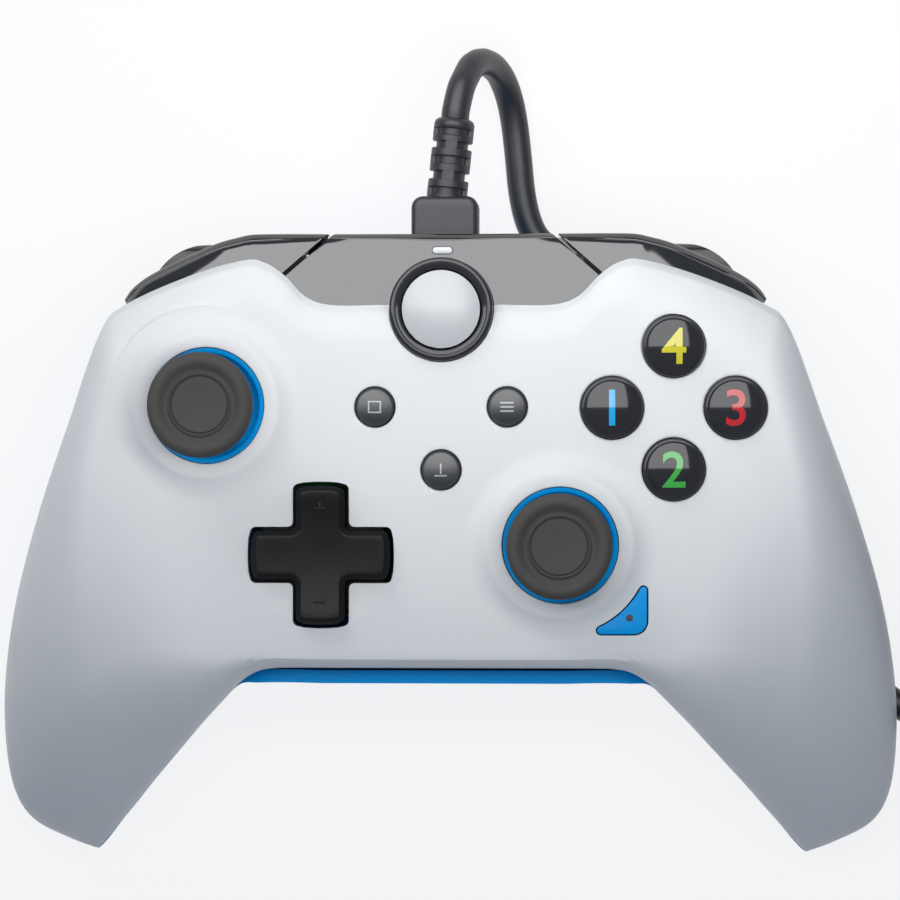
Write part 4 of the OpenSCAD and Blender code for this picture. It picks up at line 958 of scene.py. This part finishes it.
def domed_key(radius, lip, edge, crown, foot, at):
    """Round key: domed top, a narrow sunk rim round it, its flange and stem below."""
    inner = radius - lip
    rim = [(inner + 0.05, edge - 0.1), (inner + 0.12, edge - 0.16), (radius - 0.22, edge - 0.19),
           (radius - 0.08, edge - 0.26), (radius, edge - 0.42)]
    flange, stem = radius + 0.7, 2.4
    below = [(radius, -2.9), (flange, -2.9), (flange, -3.8), (stem, -3.8), (stem, foot), (0, foot)]
    return spun(dome(inner, edge, crown) + rim + below, 96, at)


def mark_on_dome(digit, radius, edge, crown, at, name, body, look):
    """Plain numeral printed on a domed key."""
    letters = bpy.data.curves.new(name, "FONT")
    letters.body = digit
    letters.size = 8.4
    letters.offset = 0.1
    letters.align_x = "CENTER"
    letters.align_y = "CENTER"
    held_text = bpy.data.objects.new(name, letters)
    bpy.context.scene.collection.objects.link(held_text)
    flat = baked(held_text)
    bpy.data.objects.remove(held_text)
    bm = bmesh.new()
    bm.from_mesh(flat)
    bpy.data.meshes.remove(flat)
    low = [min(v.co[i] for v in bm.verts) for i in (0, 1)]
    high = [max(v.co[i] for v in bm.verts) for i in (0, 1)]
    shift(bm, (-(low[0] + high[0]) / 2, -(low[1] + high[1]) / 2, 0))
    lay_on_dome(bm, radius, edge, crown, at, name, body, look)


def lay_on_dome(bm, radius, edge, crown, at, name, body, look):
    """Bends a flat mark over a dome and lays it there."""
    bmesh.ops.remove_doubles(bm, verts=bm.verts, dist=0.0005)
    slice_grid(bm, 11, 0.3, 0.0005)
    for v in bm.verts:
        v.co.z = cap_height(radius, edge, crown, hypot(v.co.x, v.co.y)) + PRINT_LIFT
    shift(bm, at)
    piece(bm, name, body, look)


class GAMEPAD_OT_face_buttons(bpy.types.Operator):
    """Turn the four domed face buttons and print a numeral on each"""
    bl_idname = "gamepad.face_buttons"
    bl_label = "Face buttons"

    def execute(self, context):
        r = mm(sizes().button)
        lip, edge, crown = 0.5, 0.9, 2.0
        marks = (("left", "1", "mark_blue"), ("bottom", "2", "mark_green"), ("right", "3", "mark_red"),
                 ("top", "4", "mark_yellow"))
        for side, digit, look in marks:
            node = side + "_button"
            at = place_of(node)
            key = domed_key(r, lip, edge, crown, -7, at)
            piece(key, side + "_dome", node, "black_gloss", (node,), 40)
            mark_on_dome(digit, r - lip, edge, crown, at, side + "_numeral", node, look)
        return {"FINISHED"}


class GAMEPAD_OT_small_keys(bpy.types.Operator):
    """Turn the three small keys and print a plain mark on each"""
    bl_idname = "gamepad.small_keys"
    bl_label = "Small keys"

    def execute(self, context):
        r = mm(sizes().key)
        lip, edge, crown = 0.35, 0.5, 0.9
        for name in ("view", "menu", "share"):
            node = name + "_button"
            at = place_of(node)
            key = domed_key(r, lip, edge, crown, -10.8, at)
            piece(key, name + "_key", node, "key_satin", (node,), 40)
            bm = bmesh.new()
            for row in self.bars(name):
                bar = prism(oblong(*row), 0, 0.01)
                bmesh.ops.delete(bar, geom=[f for f in bar.faces if f.normal.z < 0.5], context="FACES")
                join(bm, bar)
            lay_on_dome(bm, r - lip, edge, crown, at, name + "_mark", node, "mark_grey")
        return {"FINISHED"}

    def bars(self, name):
        """Middle and half sizes of the bars of each mark."""
        if name == "menu":
            return [(0, 0.7, 1.1, 0.13), (0, 0, 1.1, 0.13), (0, -0.7, 1.1, 0.13)]
        if name == "view":
            return [(0, 0.9, 1.1, 0.12), (0, -0.9, 1.1, 0.12), (-0.98, 0, 0.12, 0.78), (0.98, 0, 0.12, 0.78)]
        return [(0, -0.95, 1.0, 0.12), (0, 0.2, 0.13, 0.85)]


class GAMEPAD_OT_direction_pad(bpy.types.Operator):
    """Raise the cross of the direction pad, dish its top and set plain signs on it"""
    bl_idname = "gamepad.direction_pad"
    bl_label = "Direction pad"

    def execute(self, context):
        at = place_of("dpad")
        foot, top = -4.8, 2.2
        bm = prism(cross_outline(0), foot, top)
        soften(bm, self.top_rim(bm), 0.85, 1)
        soften(bm, self.top_rim(bm), 0.16, 3)
        slice_grid(bm, 14, 0.8, 0.001)
        for v in bm.verts:
            if v.co.z > 0.8:
                v.co.z -= self.sink(v.co.x, v.co.y)
        body = draft(bm, "pad_form")
        wide, shelf = 11, -4
        flange = draft(spun([(0, foot), (wide, foot), (wide, shelf), (0, shelf)], 96), "flange")
        combine(body, [flange], "UNION")
        ball, ball_z = 1.86, -3.4
        socket = [(0, -5.5), (ball, -5.5), (ball, ball_z)] + arc((0, ball_z), ball, 15, 75, 4)
        combine(body, [draft(spun(socket + [(0, ball_z + ball)], 48), "socket")], "DIFFERENCE")
        bm = undraft(body)
        shift(bm, at)
        piece(bm, "direction_cross", "dpad", "pad_black", ("dpad",), 24)
        signs = bmesh.new()
        for x, y, w, h in ((0, 7.8, 1.1, 0.16), (0, 7.8, 0.16, 1.1), (0, -7.8, 0.95, 0.16)):
            level = top - self.sink(x, y)
            bar = prism(oblong(x, y, w, h), level - 0.3, level + 0.14)
            soften(bar, self.top_rim(bar), 0.08, 2)
            join(signs, bar)
        shift(signs, at)
        piece(signs, "pad_signs", "dpad", "pad_black")
        return {"FINISHED"}

    def top_rim(self, bm):
        """Edges of the highest flat face."""
        top = max(bm.faces, key=lambda f: (round(f.normal.z, 2), f.calc_center_median().z))
        return list(top.edges)

    def sink(self, x, y):
        """Depth of the dish below the tips of the arms."""
        return max(0, 0.7 - (x * x + y * y) / 144)


class GAMEPAD_OT_sticks(bpy.types.Operator):
    """Turn the rubber caps of both sticks and the blue liners of their wells"""
    bl_idname = "gamepad.sticks"
    bl_label = "Sticks"

    def execute(self, context):
        c = mm(sizes().cap)
        w = mm(sizes().well)
        h = mm(sizes().collar)
        top = [(0, -1.35), (1.5, -1.3), (3, -1.15), (4.2, -0.98), (4.5, -0.97), (4.62, -1.12), (4.72, -1.2),
               (4.82, -1.1), (4.9, -0.85), (5.05, -0.75), (5.2, -0.85), (5.32, -1.05), (5.6, -1.1),
               (6.0, -0.85), (6.4, -0.45), (6.8, -0.15), (7.15, -0.02), (7.4, 0), (7.75, -0.06),
               (8.1, -0.25), (8.4, -0.55), (8.6, -0.95), (c, -1.5)]
        under = [(c, -2.9), (8.6, -3.4), (8.4, -3.8), (8.0, -4.25), (7.6, -4.5), (5.6, -4.75), (5.0, -5.0),
                 (4.6, -5.5), (4.3, -6.2), (4.1, -9.2), (1.86, -9.2), (1.86, -2), (0, -2)]
        seat = -WALL - 0.15
        foot = -WALL - 0.95
        liner = [(w - 0.15, h * 0.5), (w - 0.15, seat), (w + 2.2, seat), (w + 2.2, foot), (6.6, foot),
                 (6.6, -2.7), (7.4, -2.5), (8.1, -2.0), (8.6, -1.2), (8.8, -0.3), (w - 0.9, h * 0.35),
                 (w - 0.6, h * 0.5)]
        for side in ("left", "right"):
            at = place_of(side + "_stick_ring")
            cap = spun(top + under, 128, at + Vector((0, 0, CAP_TOP)))
            piece(cap, side + "_thumb_cap", side + "_stick", "stick_rubber",
                  (side + "_stick_cap",), 50)
            piece(spun(liner, 128, at), side + "_well_liner", "housing", "blue_shell",
                  (side + "_stick_ring",), 40)
        return {"FINISHED"}


class GAMEPAD_OT_accent(bpy.types.Operator):
    """Fit the blue corner piece and its small dot beside the right stick"""
    bl_idname = "gamepad.accent"
    bl_label = "Accent"

    def execute(self, context):
        bm = prism(wedge_outline(0), -4.8, 0)
        for k in range(1, 12):
            geom = bm.verts[:] + bm.edges[:] + bm.faces[:]
            cut = (0, -27.6 + 0.8 * k, 0)
            bmesh.ops.bisect_plane(bm, geom=geom, plane_co=cut, plane_no=(0, 1, 0), dist=0.001)
        for v in bm.verts:
            if v.co.z > -1:
                v.co.z = face_height(v.co.y) + 0.06
        soften(bm, [e for e in sharp_edges(bm, 60) if all(v.co.z > -2 for v in e.verts)], 0.14, 3)
        piece(bm, "accent_corner", "housing", "blue_shell", ("accent_insert",), 40)
        at = place_of("accent_light")
        level = face_height(at.y) + 0.1
        line = [(0, level), (0.5, level), (0.68, level - 0.08), (0.75, level - 0.25), (0.75, -4.7), (0, -4.7)]
        piece(spun(line, 48, at), "accent_dot", "housing", "chip_black", ("accent_light",))
        return {"FINISHED"}


class GAMEPAD_OT_outlet(bpy.types.Operator):
    """Mould the plug in the rear socket and the ribbed strain relief behind it"""
    bl_idname = "gamepad.outlet"
    bl_label = "Cord outlet"

    def execute(self, context):
        outline = [(-5.7, 39.65), (5.7, 39.65)]
        outline += arc((3.7, 44.6), 2, 0, 90, 8) + arc((-3.7, 44.6), 2, 90, 180, 8)
        boot = prism(outline, -20.2, -12.2)
        soften(boot, [e for e in boot.edges if abs(e.verts[0].co.z - e.verts[1].co.z) < 0.01
                      and min(v.co.y for v in e.verts) + max(v.co.y for v in e.verts) > 80], 1.1, 5)
        tongue = prism(oblong(0, 35.8, 3.9, 4.8), -17.15, -15.25)
        body = draft(boot, "boot_form")
        combine(body, [draft(tongue, "tongue")], "UNION")
        piece(undraft(body), "cord_boot", "housing", "cord_rubber", ("cord_plug",), 40)
        piece(self.relief(), "cord_bend_relief", "housing", "cord_rubber",
              ("cord_relief",), 40)
        return {"FINISHED"}

    def relief(self):
        """Core with bands along it, bridged in turn at the sides and above and below."""
        core = 2.72
        band = 3.45
        bands = ((1.5, 2.9), (4.25, 5.6), (6.9, 8.25), (9.4, 10.5))
        line = [(2.45, -0.6), (band, -0.6), (band, 0.3), (core, 0.3)]
        for low, high in bands:
            line += [(core, low), (band - 0.12, low), (band, low + 0.12), (band, high - 0.12),
                     (band - 0.12, high), (core, high)]
        line += [(core, 11.7), (band - 0.12, 11.7), (band, 11.85), (band, 12.6), (band - 0.25, 13.1),
                 (band - 0.7, 13.4), (2.45, RELIEF_LENGTH)]
        body = draft(spun(line, 64), "relief_form")
        bridges = []
        for k, (low, high) in enumerate(((0.2, 1.6), (2.8, 4.35), (5.5, 7), (8.15, 9.5), (10.4, 11.8))):
            w, h = (3.42, 0.75) if k % 2 == 0 else (0.95, 3.42)
            bridges.append(draft(prism(oblong(0, 0, w, h), low, high), "bridge"))
        bore = draft(spun([(0, -2), (2.42, -2), (2.42, 15), (0, 15)], 48), "bore")
        combine(body, bridges, "UNION")
        combine(body, [bore], "DIFFERENCE")
        bm = undraft(body)
        lean = Matrix.Rotation(-RELIEF_LEAN, 3, "Z") @ Matrix.Rotation(-pi / 2, 3, "X")
        bmesh.ops.rotate(bm, verts=bm.verts, cent=(0, 0, 0), matrix=lean)
        shift(bm, (OUTLET.x, OUTLET.y, OUTLET.z - 1000 * FACE_Z))
        return bm


class GAMEPAD_OT_inner_works(bpy.types.Operator):
    """Give the pieces inside the housing and on the cord their finishes"""
    bl_idname = "gamepad.inner_works"
    bl_label = "Inner works"

    def execute(self, context):
        looks = {
            "grey_plastic": ["mid_frame", "dpad_post", "headset_jack"],
            "steel": ["housing_screws", "usb_plug_shell", "usb_socket", "dpad_pivot"],
            "board_green": ["main_board"],
            "chip_black": ["board_components"],
            "silicone": ["face_membrane", "dpad_membrane"],
            "cord_rubber": ["cord_tie", "usb_plug_body"],
        }
        for side in ("left", "right"):
            looks["steel"] += [side + part for part in ("_trigger_pin", "_trigger_spring", "_stick_shaft",
                                                        "_stick_pivot", "_rumble_motor", "_rumble_weight")]
            looks["grey_plastic"] += [side + "_stick_module", side + "_stick_yoke"]
        for look, names in looks.items():
            for name in names:
                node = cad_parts[name]
                node.data.materials.clear()
                node.data.materials.append(finish(look))
        return {"FINISHED"}


class GAMEPAD_PT_panel(bpy.types.Panel):
    """Sizes, colours and pieces of the gamepad"""
    bl_label = "Gamepad"
    bl_idname = "GAMEPAD_PT_panel"
    bl_space_type = "VIEW_3D"
    bl_region_type = "UI"
    bl_category = "Gamepad"

    def draw(self, context):
        for group in (context.scene.gamepad_sizes, context.scene.gamepad_colours):
            box = self.layout.box()
            for name in group.__annotations__:
                box.prop(group, name)
        for operator in OPERATORS:
            self.layout.operator(operator.bl_idname)


OPERATORS = (
    GAMEPAD_OT_stage, GAMEPAD_OT_cord, GAMEPAD_OT_front_shell, GAMEPAD_OT_back_shell, GAMEPAD_OT_brow,
    GAMEPAD_OT_triggers, GAMEPAD_OT_guide, GAMEPAD_OT_face_buttons, GAMEPAD_OT_small_keys,
    GAMEPAD_OT_direction_pad, GAMEPAD_OT_sticks, GAMEPAD_OT_accent, GAMEPAD_OT_outlet, GAMEPAD_OT_inner_works)
CLASSES = (GamepadSizes, GamepadColours) + OPERATORS + (GAMEPAD_PT_panel,)


def register():
    for cls in CLASSES:
        bpy.utils.register_class(cls)
    bpy.types.Scene.gamepad_sizes = PointerProperty(type=GamepadSizes)
    bpy.types.Scene.gamepad_colours = PointerProperty(type=GamepadColours)


def unregister():
    del bpy.types.Scene.gamepad_colours
    del bpy.types.Scene.gamepad_sizes
    for cls in reversed(CLASSES):
        bpy.utils.unregister_class(cls)


def main():
    register()
    bpy.ops.gamepad.stage()
    bpy.ops.gamepad.cord()
    bpy.ops.gamepad.front_shell()
    bpy.ops.gamepad.back_shell()
    bpy.ops.gamepad.brow()
    bpy.ops.gamepad.triggers()
    bpy.ops.gamepad.guide()
    bpy.ops.gamepad.face_buttons()
    bpy.ops.gamepad.small_keys()
    bpy.ops.gamepad.direction_pad()
    bpy.ops.gamepad.sticks()
    bpy.ops.gamepad.accent()
    bpy.ops.gamepad.outlet()
    bpy.ops.gamepad.inner_works()


if __name__ == "__main__":
    main()
